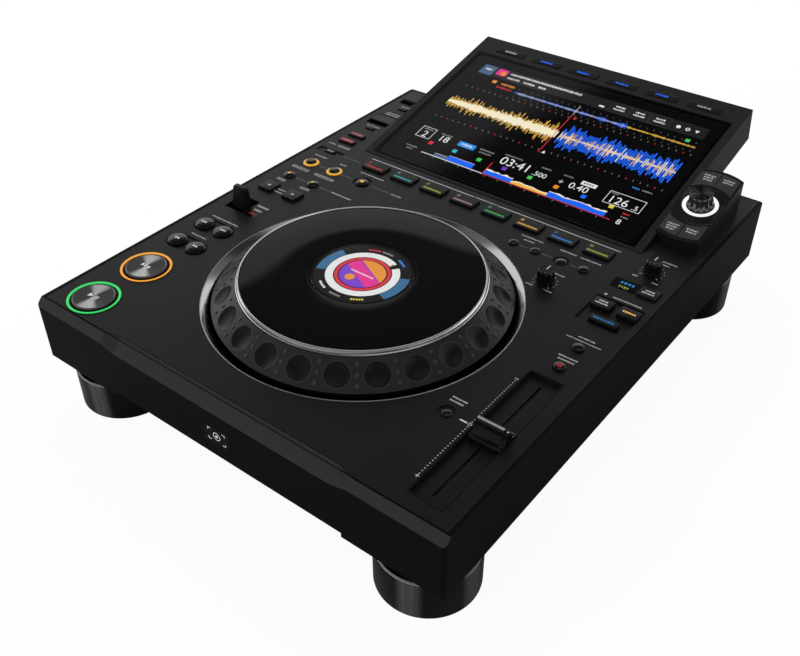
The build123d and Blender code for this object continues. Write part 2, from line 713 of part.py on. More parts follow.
# Each round key: name, x, y, radius, height above the deck
ROUND_KEYS = [
    ("search_back", SEARCH_PAIR_X[0], SEARCH_Y, SEARCH_RADIUS, SEARCH_TOP),
    ("search_forward", SEARCH_PAIR_X[1], SEARCH_Y, SEARCH_RADIUS, SEARCH_TOP),
    ("track_back", SEARCH_PAIR_X[0], TRACK_Y, SEARCH_RADIUS, SEARCH_TOP),
    ("track_forward", SEARCH_PAIR_X[1], TRACK_Y, SEARCH_RADIUS, SEARCH_TOP),
    ("loop_in_key", COLUMN_LEFT_X, LOOP_Y, LOOP_RADIUS, LOOP_TOP),
    ("loop_out_key", COLUMN_RIGHT_X, LOOP_Y, LOOP_RADIUS, LOOP_TOP),
    ("reloop_key", RELOOP_X, LOOP_Y, RELOOP_RADIUS, RELOOP_TOP),
    ("delete_key", DELETE_X, MEMORY_ROW_Y, DELETE_RADIUS, DELETE_TOP),
    ("memory_key", MEMORY_X, MEMORY_ROW_Y, MEMORY_RADIUS, MEMORY_TOP),
    ("tempo_range_key", TEMPO_X, RANGE_Y, TEMPO_KEY_RADIUS, TEMPO_KEY_TOP),
    ("master_tempo_key", TEMPO_X, MASTER_TEMPO_Y, TEMPO_KEY_RADIUS, TEMPO_KEY_TOP),
    ("tempo_reset_key", RESET_X, RESET_Y, RESET_RADIUS, RESET_TOP),
]
ROUND_KEYS += [("beat_loop_keys", x, BEAT_Y, BEAT_RADIUS, BEAT_TOP) for x in COLUMN_X]
ROUND_KEYS += [("call_keys", x, MEMORY_ROW_Y, CALL_RADIUS, CALL_TOP) for x in CALL_X]

# Each rectangular key: name, x, y, width, depth, height above the deck
BAR_KEYS = [
    ("jump_back_key", COLUMN_LEFT_X, JUMP_Y, JUMP_WIDTH, JUMP_DEPTH, JUMP_TOP),
    ("jump_forward_key", COLUMN_RIGHT_X, JUMP_Y, JUMP_WIDTH, JUMP_DEPTH, JUMP_TOP),
    ("mode_key", MODE_X, MODE_Y, MODE_WIDTH, MODE_DEPTH, MODE_TOP),
    ("sync_key", SYNC_X, SYNC_Y, SYNC_WIDTH, SYNC_DEPTH, SYNC_TOP),
    ("sync_master_key", MASTER_X, SYNC_Y, SYNC_WIDTH, SYNC_DEPTH, SYNC_TOP),
    ("key_sync_key", KEYSYNC_X, KEYSYNC_Y, KEYSYNC_WIDTH, KEYSYNC_DEPTH, SYNC_TOP),
    ("left_side_keys", SOURCE_X, SOURCE_Y, SOURCE_WIDTH, SOURCE_DEPTH, SOURCE_TOP),
]
BAR_KEYS += [("left_side_keys", SOURCE_X, y, RED_WIDTH, RED_DEPTH, RED_TOP) for y in RED_Y]
BAR_KEYS += [("left_side_keys", SOURCE_X, y, STOP_WIDTH, STOP_DEPTH, STOP_TOP) for y in STOP_Y]
BAR_KEYS += [(f"hot_cue_{i + 1}", x, PAD_Y, PAD_WIDTH, PAD_DEPTH, PAD_TOP) for i, x in enumerate(PAD_X)]

# ---- Case ---------------------------------------------------------------------------------------


def wedge(x0, size0, x1, size1, corner_z, down):
    """The waste of a chamfer on the front's long edge, from one end's depth and height to the other's."""

    def end(x, size):
        depth, height = size
        near = -OVERCUT * depth
        far = depth - near
        outside = corner_z + down * OVERCUT * height
        inside = corner_z - down * (1 + OVERCUT) * height
        return make_face(Polyline((x, near, outside), (x, near, inside), (x, far, outside), close=True))

    return loft([end(x0, size0), end(x1, size1)])


def front_chamfers():
    """The waste of the front's top chamfer, which is deeper across the middle, and of its undercut."""
    shallow = (FRONT_CHAMFER_DEPTH, FRONT_CHAMFER_HEIGHT)
    deep = (NOSE_CHAMFER_DEPTH, NOSE_CHAMFER_HEIGHT)
    undercut = (NOSE_UNDERCUT, NOSE_UNDERCUT)
    stops = [(0.0, shallow), (NOSE_LEFT - NOSE_BLEND, shallow), (NOSE_LEFT, deep), (NOSE_RIGHT, deep),
             (NOSE_RIGHT + NOSE_BLEND, shallow), (CASE_WIDTH, shallow)]
    waste = [wedge(x0, size0, x1, size1, 0.0, 1) for (x0, size0), (x1, size1) in zip(stops, stops[1:])]
    half_blend = NOSE_BLEND / 2
    waste.append(wedge(NOSE_LEFT - half_blend, undercut, NOSE_RIGHT + half_blend, undercut, -CASE_HEIGHT, -1))
    return waste


def deck_outline(margin):
    """The deck's face, grown by a margin: straight sides and a front edge that follows the chamfer."""
    left = DECK_SIDE_INSET + DECK_SEAM - margin
    right = CASE_WIDTH - left
    rear = CASE_DEPTH - left
    edge = FRONT_CHAMFER_DEPTH + FRONT_LAND + DECK_SEAM - margin
    nose = NOSE_CHAMFER_DEPTH + FRONT_LAND + DECK_SEAM - margin
    points = [(left, edge), (NOSE_LEFT - NOSE_BLEND, edge), (NOSE_LEFT, nose), (NOSE_RIGHT, nose),
              (NOSE_RIGHT + NOSE_BLEND, edge), (right, edge), (right, rear), (left, rear)]
    return make_face(Polyline(*points, close=True))


def screw_places():
    """The eight places where a screw ties the case to the deck."""
    sides = [(x, y) for y in SCREW_SIDE_Y for x in (SCREW_INSET_X, CASE_WIDTH - SCREW_INSET_X)]
    front = [(CENTRE_X + side * SCREW_FRONT_SPREAD, SCREW_FRONT_Y) for side in (-1, 1)]
    return sides + front


def standoff_places():
    """Where the main board's standoffs rise from the floor."""
    left, right, front, rear = MAIN_BOARD
    return [(x, y) for x in (left + STANDOFF_INSET, right - STANDOFF_INSET)
            for y in (front + STANDOFF_INSET, rear - STANDOFF_INSET)]


def foot_places():
    """The centres of the four feet."""
    return [(x, y) for x in (FOOT_INSET_X, CASE_WIDTH - FOOT_INSET_X)
            for y in (FOOT_INSET_Y, CASE_DEPTH - FOOT_INSET_Y)]


def lower_case():
    """The tub: floor, four walls, the ledge that carries the deck, screw posts and board standoffs."""
    shape = block(0, CASE_WIDTH, 0, CASE_DEPTH, -CASE_HEIGHT, 0)
    shape = fillet(shape.edges().filter_by(Axis.Z), CASE_CORNER_RADIUS)
    for waste in front_chamfers():
        shape -= waste
    shape -= extrude(deck_outline(DECK_SEAM), -DECK_THICKNESS)
    inner = CASE_WALL + LEDGE_WIDTH
    under_deck = DECK_UNDERSIDE - LEDGE_HEIGHT
    shape -= block(inner, CASE_WIDTH - inner, FRONT_WALL, CASE_DEPTH - inner, under_deck, DECK_UNDERSIDE)
    shape -= block(CASE_WALL, CASE_WIDTH - CASE_WALL, FRONT_WALL, CASE_DEPTH - CASE_WALL,
                   FLOOR_TOP, under_deck)
    for x, y in screw_places():
        shape += rod(x, y, BOSS_RADIUS, FLOOR_TOP, SCREW_POST_TOP)
        shape -= rod(x, y, BOSS_RADIUS + DECK_SEAM, SCREW_POST_TOP, DECK_UNDERSIDE)
        shape -= rod(x, y, SCREW_HOLE_RADIUS, -CASE_HEIGHT, SCREW_POST_TOP)
        shape -= rod(x, y, SCREW_HEAD_RADIUS, -CASE_HEIGHT, -CASE_HEIGHT + SCREW_HEAD_HEIGHT)
    bay = PLAY_RING_RADIUS + PLAY_RING_FLANGE + PLAY_BAY_GAP
    shape -= rod(PLAY_X, PLAY_Y, bay, DECK_UNDERSIDE - PLAY_BAY_DEPTH, DECK_UNDERSIDE)
    for x, y in standoff_places():
        shape += rod(x, y, BOSS_RADIUS, FLOOR_TOP, FLOOR_TOP + MAIN_BOARD_RISE)
    for x, width, height in socket_windows():
        shape -= bar(x, CASE_DEPTH, width + 2 * SOCKET_GAP, 4 * CASE_WALL,
                     SOCKET_Z - height / 2 - SOCKET_GAP, SOCKET_Z + height / 2 + SOCKET_GAP)
    return shape


def case_screws():
    """Eight pan-head screws, from under the floor up into the deck's bosses."""
    shapes = []
    bottom = -CASE_HEIGHT
    head = SCREW_HEAD_RADIUS - SCREW_HEAD_GAP
    seat = bottom + SCREW_HEAD_HEIGHT
    tip = bottom + SCREW_LENGTH
    for x, y in screw_places():
        shapes.append(turned(x, y, [(0, bottom), (head, bottom), (head, seat), (SCREW_RADIUS, seat),
                                    (SCREW_RADIUS, tip), (0, tip)]))
    return Compound(children=shapes)


def feet():
    """Four tall round feet, each on a short neck under the floor."""
    neck_bottom = -CASE_HEIGHT - FOOT_NECK_HEIGHT
    edge = FOOT_EDGE_RADIUS
    shapes = []
    for x, y in foot_places():
        foot = turned(x, y, [
            (0, -CASE_HEIGHT), (FOOT_NECK_RADIUS, -CASE_HEIGHT), (FOOT_NECK_RADIUS, neck_bottom),
            (FOOT_RADIUS - edge / 2, neck_bottom), (FOOT_RADIUS, neck_bottom - edge / 2),
            (FOOT_RADIUS, FOOT_BOTTOM + edge), (FOOT_RADIUS - edge, FOOT_BOTTOM), (0, FOOT_BOTTOM),
        ])
        shapes.append(foot)
    return Compound(children=shapes)


# ---- Deck ---------------------------------------------------------------------------------------


def deck_recesses():
    """Shallow dishes in the deck's top face."""
    pair_length = 2 * (SEARCH_SPREAD + SEARCH_RADIUS + SEARCH_RECESS_MARGIN)
    pair_width = 2 * (SEARCH_RADIUS + SEARCH_RECESS_MARGIN)
    cuts = [stadium(SEARCH_X, y, pair_length, pair_width, -SEARCH_RECESS_DEPTH, CUT_REACH)
            for y in (SEARCH_Y, TRACK_Y)]
    rings = [(RELOOP_X, LOOP_Y, RELOOP_RECESS_RADIUS), (DELETE_X, MEMORY_ROW_Y, DELETE_RECESS_RADIUS),
             (RESET_X, RESET_Y, RESET_RECESS_RADIUS)]
    cuts += [rod(x, y, radius, -RING_RECESS_DEPTH, CUT_REACH) for x, y, radius in rings]
    cuts.append(bar(SOURCE_X, SOURCE_Y, SOURCE_RECESS_WIDTH, SOURCE_RECESS_DEPTH,
                    -RING_RECESS_DEPTH, CUT_REACH))
    cuts.append(block(TRAY_LEFT, TRAY_RIGHT, TRAY_FRONT, TRAY_REAR, -TRAY_DEPTH, CUT_REACH))
    return cuts


def deck_holes():
    """Holes through the deck for its keys, knobs, lever and jog wheel."""
    cuts = [round_hole(x, y, radius) for _, x, y, radius, _ in ROUND_KEYS]
    cuts += [bar_hole(x, y, width, depth) for _, x, y, width, depth, _ in BAR_KEYS]
    below = DECK_UNDERSIDE - CUT_REACH
    cuts += [rod(PLAY_X, y, PLAY_RING_RADIUS + DECK_SEAM, below, CUT_REACH) for y in (PLAY_Y, CUE_Y)]
    knob_hole = KNOB_SHAFT_RADIUS + KNOB_SHAFT_CLEARANCE
    cuts += [rod(x, y, knob_hole, below, CUT_REACH) for x, y in ((FEEL_X, FEEL_Y), (SPEED_X, SPEED_Y))]
    cuts.append(rod(JOG_X, JOG_Y, BEZEL_OUTER_RADIUS + DECK_SEAM, below, CUT_REACH))
    cuts.append(bar(LEVER_X, LEVER_Y, LEVER_SLOT_WIDTH, LEVER_SLOT_DEPTH, below, CUT_REACH))
    return cuts


def screen_opening():
    """The deck's opening under the screen housing: left, right, front, rear."""
    half = HOUSING_WIDTH / 2 - HOUSING_TUB_INSET + DECK_SEAM
    front = SCREEN_FRONT_Y - HOUSING_LIP * math.cos(TILT) + HOUSING_FRONT_INSET - DECK_SEAM
    rear = CASE_DEPTH - CASE_WALL - LEDGE_WIDTH
    return (CENTRE_X - half, CENTRE_X + half, front, rear)


def lever_ears():
    """Two ears under the deck that hold the lever's pins."""
    inner = LEVER_WIDTH / 2 + LEVER_SIDE_GAP
    shapes = []
    for side in (-1, 1):
        x0, x1 = sorted((LEVER_X + side * inner, LEVER_X + side * (inner + LEVER_EAR)))
        front = LEVER_Y - LEVER_EAR_RADIUS
        rear = LEVER_Y + LEVER_EAR_RADIUS
        ear = cross_rod(LEVER_Y, LEVER_AXIS_Z, LEVER_EAR_RADIUS, x0, x1)
        ear += block(x0, x1, front, rear, LEVER_AXIS_Z, DECK_UNDERSIDE)
        shapes.append(ear - cross_rod(LEVER_Y, LEVER_AXIS_Z, LEVER_PIN_RADIUS + LEVER_PIN_CLEARANCE, x0, x1))
    return shapes


def port_well(x, width, front, rear, depth, wall):
    """A well that hangs under the deck round a storage port: its outside and its hollow."""
    outside = block(x - width / 2 - wall, x + width / 2 + wall, front - wall, rear + wall, -depth - wall, 0)
    hollow = block(x - width / 2, x + width / 2, front, rear, -depth, CUT_REACH)
    return outside, hollow


def deck_panel():
    """The control deck: one moulded plate with its holes, dishes, wells, ears and bosses."""
    shape = extrude(deck_outline(0.0), -DECK_THICKNESS)
    tray_wall = FADER_TRAY_FLOOR
    shape += bar(FADER_X, FADER_Y, FADER_TRAY_WIDTH + 2 * tray_wall, FADER_TRAY_LENGTH + 2 * tray_wall,
                 FADER_TRACK_TOP, DECK_UNDERSIDE)
    wells = [port_well(PORT_X, PORT_WIDTH, PORT_FRONT_Y, PORT_REAR_Y, PORT_DEPTH, PORT_WALL),
             port_well(CARD_X, CARD_WIDTH, CARD_FRONT_Y, CARD_REAR_Y, CARD_DEPTH, PORT_WALL)]
    for outside, _ in wells:
        shape += outside
    for ear in lever_ears():
        shape += ear
    for x, y in screw_places():
        shape += rod(x, y, BOSS_RADIUS, SCREW_POST_TOP, DECK_UNDERSIDE)
        shape -= rod(x, y, SCREW_HOLE_RADIUS, SCREW_POST_TOP, -CASE_HEIGHT + SCREW_LENGTH + SCREW_TIP_GAP)
    for x, y in BOARD_BOSSES:
        shape += rod(x, y, BOARD_BOSS_RADIUS, BOARD_TOP, DECK_UNDERSIDE)
    for cut in deck_recesses() + deck_holes():
        shape -= cut
    for _, hollow in wells:
        shape -= hollow
    pocket = bar(FADER_X, FADER_Y, FADER_TRAY_WIDTH, FADER_TRAY_LENGTH, -FADER_TRAY_DEPTH, CUT_REACH)
    shape -= fillet(pocket.edges().filter_by(Axis.Z), FADER_TRAY_CORNER)
    slot_length = FADER_TRAVEL + FADER_STEM_LENGTH + 2 * FADER_STEM_WIDTH
    shape -= bar(FADER_X, FADER_Y, FADER_SLOT_WIDTH, slot_length, FADER_TRACK_TOP, 0)
    left, right, front, rear = screen_opening()
    shape -= block(left, right, front, rear, DECK_UNDERSIDE - CUT_REACH, CUT_REACH)
    lid_pin = cross_rod(LID_AXIS_Y, LID_AXIS_Z, LID_PIN_RADIUS + SPINDLE_CLEARANCE,
                        PORT_X - PORT_WIDTH / 2 - LID_PIN_LENGTH, PORT_X + PORT_WIDTH / 2 + LID_PIN_LENGTH)
    return shape - lid_pin


def usb_lid():
    """The storage port's lid, with a barrel and two pins at its rear edge."""
    half = PORT_WIDTH / 2 - LID_GAP
    shape = block(PORT_X - half, PORT_X + half, LID_FRONT_Y, LID_AXIS_Y, -LID_THICKNESS, 0)
    shape += cross_rod(LID_AXIS_Y, LID_AXIS_Z, LID_BARREL_RADIUS, PORT_X - half, PORT_X + half)
    reach = PORT_WIDTH / 2 + LID_PIN_LENGTH - LID_GAP
    return shape + cross_rod(LID_AXIS_Y, LID_AXIS_Z, LID_PIN_RADIUS, PORT_X - reach, PORT_X + reach)


def play_key(y):
    """The large play or cue cap, with a flange under its light ring."""
    return round_key(PLAY_X, y, PLAY_CAP_RADIUS, PLAY_CAP_TOP, PLAY_SEAT, PLAY_BOTTOM)


def play_ring(y):
    """The translucent ring round the play or cue cap, clipped under the deck by its flange."""
    inner = PLAY_CAP_RADIUS + KEY_HOLE_GAP
    flange = PLAY_RING_RADIUS + PLAY_RING_FLANGE
    return turned(PLAY_X, y, [
        (inner, PLAY_RING_TOP), (PLAY_RING_RADIUS - KEY_EDGE, PLAY_RING_TOP),
        (PLAY_RING_RADIUS, PLAY_RING_TOP - KEY_EDGE), (PLAY_RING_RADIUS, DECK_UNDERSIDE),
        (flange, DECK_UNDERSIDE), (flange, PLAY_SEAT), (inner, PLAY_SEAT),
    ])


def selector_ring():
    """The light ring round the selector knob, set into the pod's top plate."""
    top = POD_TOP_W + POD_KEY_TOP
    bottom = POD_TOP_W - POD_TOP_PLATE / 2
    ring = rod(0, 0, RING_OUTER_RADIUS, bottom, top) - rod(0, 0, RING_INNER_RADIUS, bottom, top)
    return on_screen(ring, POD_U, POD_V)


def light_rings():
    """The three fixed light rings."""
    return Compound(children=[play_ring(PLAY_Y), play_ring(CUE_Y), selector_ring()])


def direction_lever():
    """The direction lever: a tapered blade on a hub with two pins."""
    half = LEVER_BASE / 2
    tip = LEVER_TIP / 2
    blade = side_prism([(LEVER_Y - half, LEVER_AXIS_Z), (LEVER_Y - half, 0), (LEVER_Y - tip, LEVER_TOP),
                        (LEVER_Y + tip, LEVER_TOP), (LEVER_Y + half, 0), (LEVER_Y + half, LEVER_AXIS_Z)],
                       LEVER_X - LEVER_WIDTH / 2, LEVER_X + LEVER_WIDTH / 2)
    for side in (-1, 1):
        edge = LEVER_X + side * LEVER_WIDTH / 2
        narrow = edge - side * LEVER_TAPER
        corner = Polyline((edge, 0, 0), (edge, 0, LEVER_TOP), (narrow, 0, LEVER_TOP), close=True)
        waste = extrude(make_face(corner), 2 * LEVER_BASE, dir=(0, 1, 0))
        blade -= Pos(0, LEVER_Y - LEVER_BASE, 0) * waste
    half_width = LEVER_WIDTH / 2
    hub = cross_rod(LEVER_Y, LEVER_AXIS_Z, LEVER_HUB_RADIUS, LEVER_X - half_width, LEVER_X + half_width)
    reach = half_width + LEVER_PIN_LENGTH
    pins = cross_rod(LEVER_Y, LEVER_AXIS_Z, LEVER_PIN_RADIUS, LEVER_X - reach, LEVER_X + reach)
    return blade + hub + pins


def knob(x, y):
    """A fluted knob on a shaft that drops through the deck."""
    shape = turned(x, y, [(0, KNOB_GAP), (KNOB_RADIUS, KNOB_GAP), (KNOB_TOP_RADIUS, KNOB_TOP), (0, KNOB_TOP)])
    for i in range(KNOB_FLUTES):
        angle = 2 * math.pi * (i + 0.5) / KNOB_FLUTES
        shape -= rod(x + KNOB_RADIUS * math.cos(angle), y + KNOB_RADIUS * math.sin(angle), KNOB_FLUTE_RADIUS,
                     0, KNOB_TOP + 1)
    return shape + rod(x, y, KNOB_SHAFT_RADIUS, BOARD_TOP + SWITCH_GAP, KNOB_GAP)


# ---- Jog wheel ----------------------------------------------------------------------------------


def jog_bezel():
    """The dished metal ring round the wheel, clamped under the deck by its flange."""
    bottom = -BEZEL_DROP - BEZEL_PLATE
    flange_radius = BEZEL_OUTER_RADIUS + BEZEL_FLANGE
    return turned(JOG_X, JOG_Y, [
        (BEZEL_OUTER_RADIUS, BEZEL_PROUD), (BEZEL_OUTER_RADIUS - BEZEL_LIP, BEZEL_PROUD),
        (BEZEL_INNER_RADIUS, -BEZEL_DROP), (BEZEL_INNER_RADIUS, bottom), (flange_radius, bottom),
        (flange_radius, DECK_UNDERSIDE), (BEZEL_OUTER_RADIUS, DECK_UNDERSIDE),
    ])


def jog_bearing():
    """The fixed bearing: a flange on the floor, a column and the spindle that the wheel turns on."""
    flange_top = FLOOR_TOP + BEARING_FLANGE
    spindle_top = DIAL_TOP_Z - DIAL_THICKNESS
    return turned(JOG_X, JOG_Y, [
        (0, FLOOR_TOP), (BEARING_FLANGE_RADIUS, FLOOR_TOP), (BEARING_FLANGE_RADIUS, flange_top),
        (BEARING_COLUMN_RADIUS, flange_top), (BEARING_COLUMN_RADIUS, HUB_BOTTOM_Z),
        (SPINDLE_RADIUS, HUB_BOTTOM_Z), (SPINDLE_RADIUS, spindle_top), (0, spindle_top),
    ])


def jog_wheel():
    """The wheel: a hub, a web and a conical skirt with finger dimples all round."""
    outer_slope = (WHEEL_RADIUS, WHEEL_EDGE_Z)
    edge_bottom = WHEEL_EDGE_Z - WHEEL_EDGE_HEIGHT
    bore = SPINDLE_RADIUS + SPINDLE_CLEARANCE
    seat_radius = PLATTER_RADIUS - PLATTER_SEAT
    shape = turned(JOG_X, JOG_Y, [
        (bore, HUB_BOTTOM_Z), (HUB_RADIUS, HUB_BOTTOM_Z), (HUB_RADIUS, WHEEL_WEB_BOTTOM),
        (WHEEL_TOP_RADIUS - WHEEL_SKIRT, WHEEL_WEB_BOTTOM), (WHEEL_RADIUS - WHEEL_SKIRT, edge_bottom),
        (WHEEL_RADIUS, edge_bottom), outer_slope, (WHEEL_TOP_RADIUS, WHEEL_TOP_Z),
        (seat_radius, WHEEL_TOP_Z), (seat_radius, WHEEL_WEB_TOP), (bore, WHEEL_WEB_TOP),
    ])
    slope = math.atan2(WHEEL_TOP_Z - WHEEL_EDGE_Z, WHEEL_RADIUS - WHEEL_TOP_RADIUS)
    ball = (DIMPLE_RADIUS ** 2 + DIMPLE_DEPTH ** 2) / (2 * DIMPLE_DEPTH)
    lift = ball - DIMPLE_DEPTH
    centre_radius = (WHEEL_RADIUS + WHEEL_TOP_RADIUS) / 2 + lift * math.sin(slope)
    centre_z = (WHEEL_EDGE_Z + WHEEL_TOP_Z) / 2 + lift * math.cos(slope)
    for i in range(DIMPLE_COUNT):
        angle = 2 * math.pi * i / DIMPLE_COUNT
        shape -= Pos(JOG_X + centre_radius * math.cos(angle), JOG_Y + centre_radius * math.sin(angle),
                     centre_z) * Sphere(ball)
    return shape


def jog_rim():
    """The bright metal ring on the wheel's shoulder, round the platter."""
    return turned(JOG_X, JOG_Y, [
        (PLATTER_RADIUS, WHEEL_TOP_Z), (RIM_FOOT_RADIUS, WHEEL_TOP_Z),
        (RIM_FOOT_RADIUS, WHEEL_TOP_Z + RIM_BEAD_HEIGHT), (RIM_TOP_RADIUS, RIM_TOP_Z),
        (PLATTER_RADIUS, RIM_TOP_Z),
    ])


def jog_platter():
    """The flat top plate, with a stepped hole for the dial's window."""
    window = WINDOW_RADIUS + DECK_SEAM
    ledge_z = PLATTER_TOP_Z - WINDOW_THICKNESS
    return turned(JOG_X, JOG_Y, [
        (window, PLATTER_TOP_Z), (PLATTER_RADIUS - DECK_SEAM, PLATTER_TOP_Z),
        (PLATTER_RADIUS - DECK_SEAM, WHEEL_TOP_Z), (WINDOW_RADIUS - WINDOW_LEDGE, WHEEL_TOP_Z),
        (WINDOW_RADIUS - WINDOW_LEDGE, ledge_z), (window, ledge_z),
    ])


def jog_window():
    """The clear disc over the dial."""
    return rod(JOG_X, JOG_Y, WINDOW_RADIUS, PLATTER_TOP_Z - WINDOW_THICKNESS, PLATTER_TOP_Z)


def jog_display():
    """The round dial display, fixed on top of the spindle."""
    return rod(JOG_X, JOG_Y, DIAL_RADIUS, DIAL_TOP_Z - DIAL_THICKNESS, DIAL_TOP_Z)


# ---- Tempo fader --------------------------------------------------------------------------------


def fader_profile(bottom, rise, top):
    """The fader cap's side view: low toes, sloped flanks and a narrow ridge."""
    half = FADER_CAP_LENGTH / 2
    toe = half - FADER_CAP_TOE
    ridge = FADER_RIDGE / 2
    right = [(ridge, top), (toe, FADER_CAP_SHOULDER + rise), (half, FADER_CAP_LIP + rise), (half, bottom)]
    left = [(-y, z) for y, z in reversed(right)]
    return [(FADER_Y + y, z) for y, z in left + right]


def tempo_fader():
    """The fader's cap, with a ridge, a side cheek over the tray's edge and a stem down its slot."""
    bottom = -FADER_TRAY_DEPTH + FADER_FLOOR_GAP
    left = FADER_X - FADER_CAP_WIDTH / 2
    right = FADER_X + FADER_CAP_WIDTH / 2
    cheek = right + FADER_NECK_WIDTH
    rise = FADER_NECK_RISE
    shape = side_prism(fader_profile(bottom, 0.0, FADER_CAP_TOP), left, right)
    shape += side_prism(fader_profile(FADER_CAP_LIP, rise, FADER_CAP_TOP - FADER_NECK_DROP), right, cheek)
    shape += side_prism(fader_profile(FADER_CAP_LIP, rise, FADER_CHEEK_TOP), cheek, cheek + FADER_CHEEK_WIDTH)
    stem_bottom = FADER_TRACK_TOP - FADER_STEM_DROP
    return shape + bar(FADER_X, FADER_Y, FADER_STEM_WIDTH, FADER_STEM_LENGTH, stem_bottom, bottom)


def fader_track():
    """The slide potentiometer under the tray: a long box, open along its top for the stem."""
    top = FADER_TRACK_TOP
    shape = bar(FADER_X, FADER_Y, FADER_TRACK_WIDTH, FADER_TRACK_LENGTH, top - FADER_TRACK_HEIGHT, top)
    inner = FADER_TRACK_WIDTH - 2 * FADER_TRACK_WALL
    shape -= bar(FADER_X, FADER_Y, inner, FADER_TRACK_LENGTH - 2 * FADER_TRACK_WALL,
                 top - FADER_TRACK_HEIGHT + FADER_TRACK_WALL, top)
    return shape


# ---- Screen -------------------------------------------------------------------------------------


def screen_key_box(index, margin, w0, w1):
    """A box round one of the keys in the screen's top bezel."""
    half = SCREEN_KEY_WIDTH / 2 + margin
    height = SCREEN_KEY_HEIGHT / 2 + margin
    u = SCREEN_KEY_U[index]
    return screen_block(u - half, u + half, SCREEN_KEY_V - height, SCREEN_KEY_V + height, w0, w1)


def housing_outline():
    """The housing's side view: a tilted slab whose front edge rests on the deck."""
    sin, cos = math.sin(TILT), math.cos(TILT)
    front_y = SCREEN_FRONT_Y - HOUSING_LIP * cos
    front_z = SCREEN_FRONT_Z - HOUSING_LIP * sin
    top_y = SCREEN_FRONT_Y + HOUSING_LENGTH * cos
    top_z = SCREEN_FRONT_Z + HOUSING_LENGTH * sin
    low_y = top_y + HOUSING_THICKNESS * sin
    low_z = top_z - HOUSING_THICKNESS * cos
    step_y = CASE_DEPTH + HOUSING_REAR_GAP
    step_z = low_z - (low_y - step_y) * math.tan(TILT)
    return [(front_y, 0), (front_y, front_z), (top_y, top_z), (low_y, low_z), (step_y, step_z), (step_y, 0)]


def screen_housing():
    """The hollow screen housing, with a tub that drops through the deck's opening."""
    half = HOUSING_WIDTH / 2
    shape = side_prism(housing_outline(), CENTRE_X - half, CENTRE_X + half)
    left, right, front, rear = screen_opening()
    gap = DECK_SEAM
    shape += block(left + gap, right - gap, front + gap, rear - gap, -HOUSING_TUB_DROP, 0)
    wall = HOUSING_WALL
    over = OVERCUT
    inner = half - HOUSING_TUB_INSET - wall
    hollow = screen_block(-inner, inner, wall, HOUSING_LENGTH - wall, -HOUSING_THICKNESS + wall,
                          -GLASS_THICKNESS - wall)
    keep_front = block(0, CASE_WIDTH, front + gap + wall, PART_DEPTH, -HOUSING_TUB_DROP, CASE_HEIGHT)
    shape -= hollow & keep_front
    shape -= block(left + gap + wall, right - gap - wall, front + gap + 2 * wall, rear - gap - wall,
                   -HOUSING_TUB_DROP, 0)
    display_half = DISPLAY_WIDTH / 2 + GLASS_GAP
    display_v = (GLASS_HEIGHT - DISPLAY_HEIGHT) / 2
    shape -= screen_block(-display_half, display_half, display_v - GLASS_GAP,
                          display_v + DISPLAY_HEIGHT + GLASS_GAP,
                          -GLASS_THICKNESS - DISPLAY_THICKNESS - GLASS_GAP, -GLASS_THICKNESS)
    glass_half = GLASS_WIDTH / 2 + GLASS_GAP
    shape -= screen_block(-glass_half, glass_half, -GLASS_GAP, GLASS_HEIGHT + GLASS_GAP,
                          -GLASS_THICKNESS, over)
    for i in range(SCREEN_KEY_COUNT):
        shape -= screen_key_box(i, SCREEN_KEY_GAP, -GLASS_THICKNESS - wall - over, over)
    return shape


def screen_glass():
    """The touch glass, flush with the bezel."""
    half = GLASS_WIDTH / 2
    return screen_block(-half, half, 0, GLASS_HEIGHT, -GLASS_THICKNESS, 0)


def display_panel():
    """The display panel, bonded to the back of the glass."""
    half = DISPLAY_WIDTH / 2
    v = (GLASS_HEIGHT - DISPLAY_HEIGHT) / 2
    back = -GLASS_THICKNESS - DISPLAY_THICKNESS
    return screen_block(-half, half, v, v + DISPLAY_HEIGHT, back, -GLASS_THICKNESS)


def screen_keys():
    """Six flat keys in the bezel above the glass, each with a flange behind it."""
    seat = -GLASS_THICKNESS - HOUSING_WALL
    shapes = []
    for i in range(SCREEN_KEY_COUNT):
        cap = screen_key_box(i, 0.0, seat, SCREEN_KEY_TOP)
        flange = screen_key_box(i, KEY_FLANGE, seat - KEY_FLANGE_HEIGHT, seat)
        shapes.append(cap + flange)
    return Compound(children=shapes)


# ---- Selector pod -------------------------------------------------------------------------------


def pod_column(radius, left_u, right_u):
    """The pod's upright outline: a circle about the selector, cut straight at its two sides."""
    x = CENTRE_X + POD_U
    y = SCREEN_FRONT_Y + POD_V * math.cos(TILT) - POD_TOP_W * math.sin(TILT)
    height = CASE_HEIGHT
    return rod(x, y, radius, 0, height) & block(x + left_u, x + right_u, 0, PART_DEPTH, 0, height)


def pod_slab(w0, w1):
    """Everything round the pod between two heights above the bezel's face."""
    half = CASE_WIDTH
    return on_screen(block(-half, half, -half, half, w0, w1), POD_U, POD_V)


def pod_sector(side_v, side_u, split, half_width, margin, w0, w1):
    """A quarter of a ring about the selector, cut straight at the pod's side."""
    outer = POD_KEY_OUTER_RADIUS + margin
    height = w1 - w0
    ring = Pos(0, 0, (w0 + w1) / 2) * (Cylinder(outer, height)
                                       - Cylinder(POD_KEY_INNER_RADIUS - margin, height))
    u0, u1 = sorted((side_u * split / 2, side_u * half_width))
    v0, v1 = sorted((0.0, side_v * outer))
    return ring & block(u0, u1, v0, v1, w0, w1)


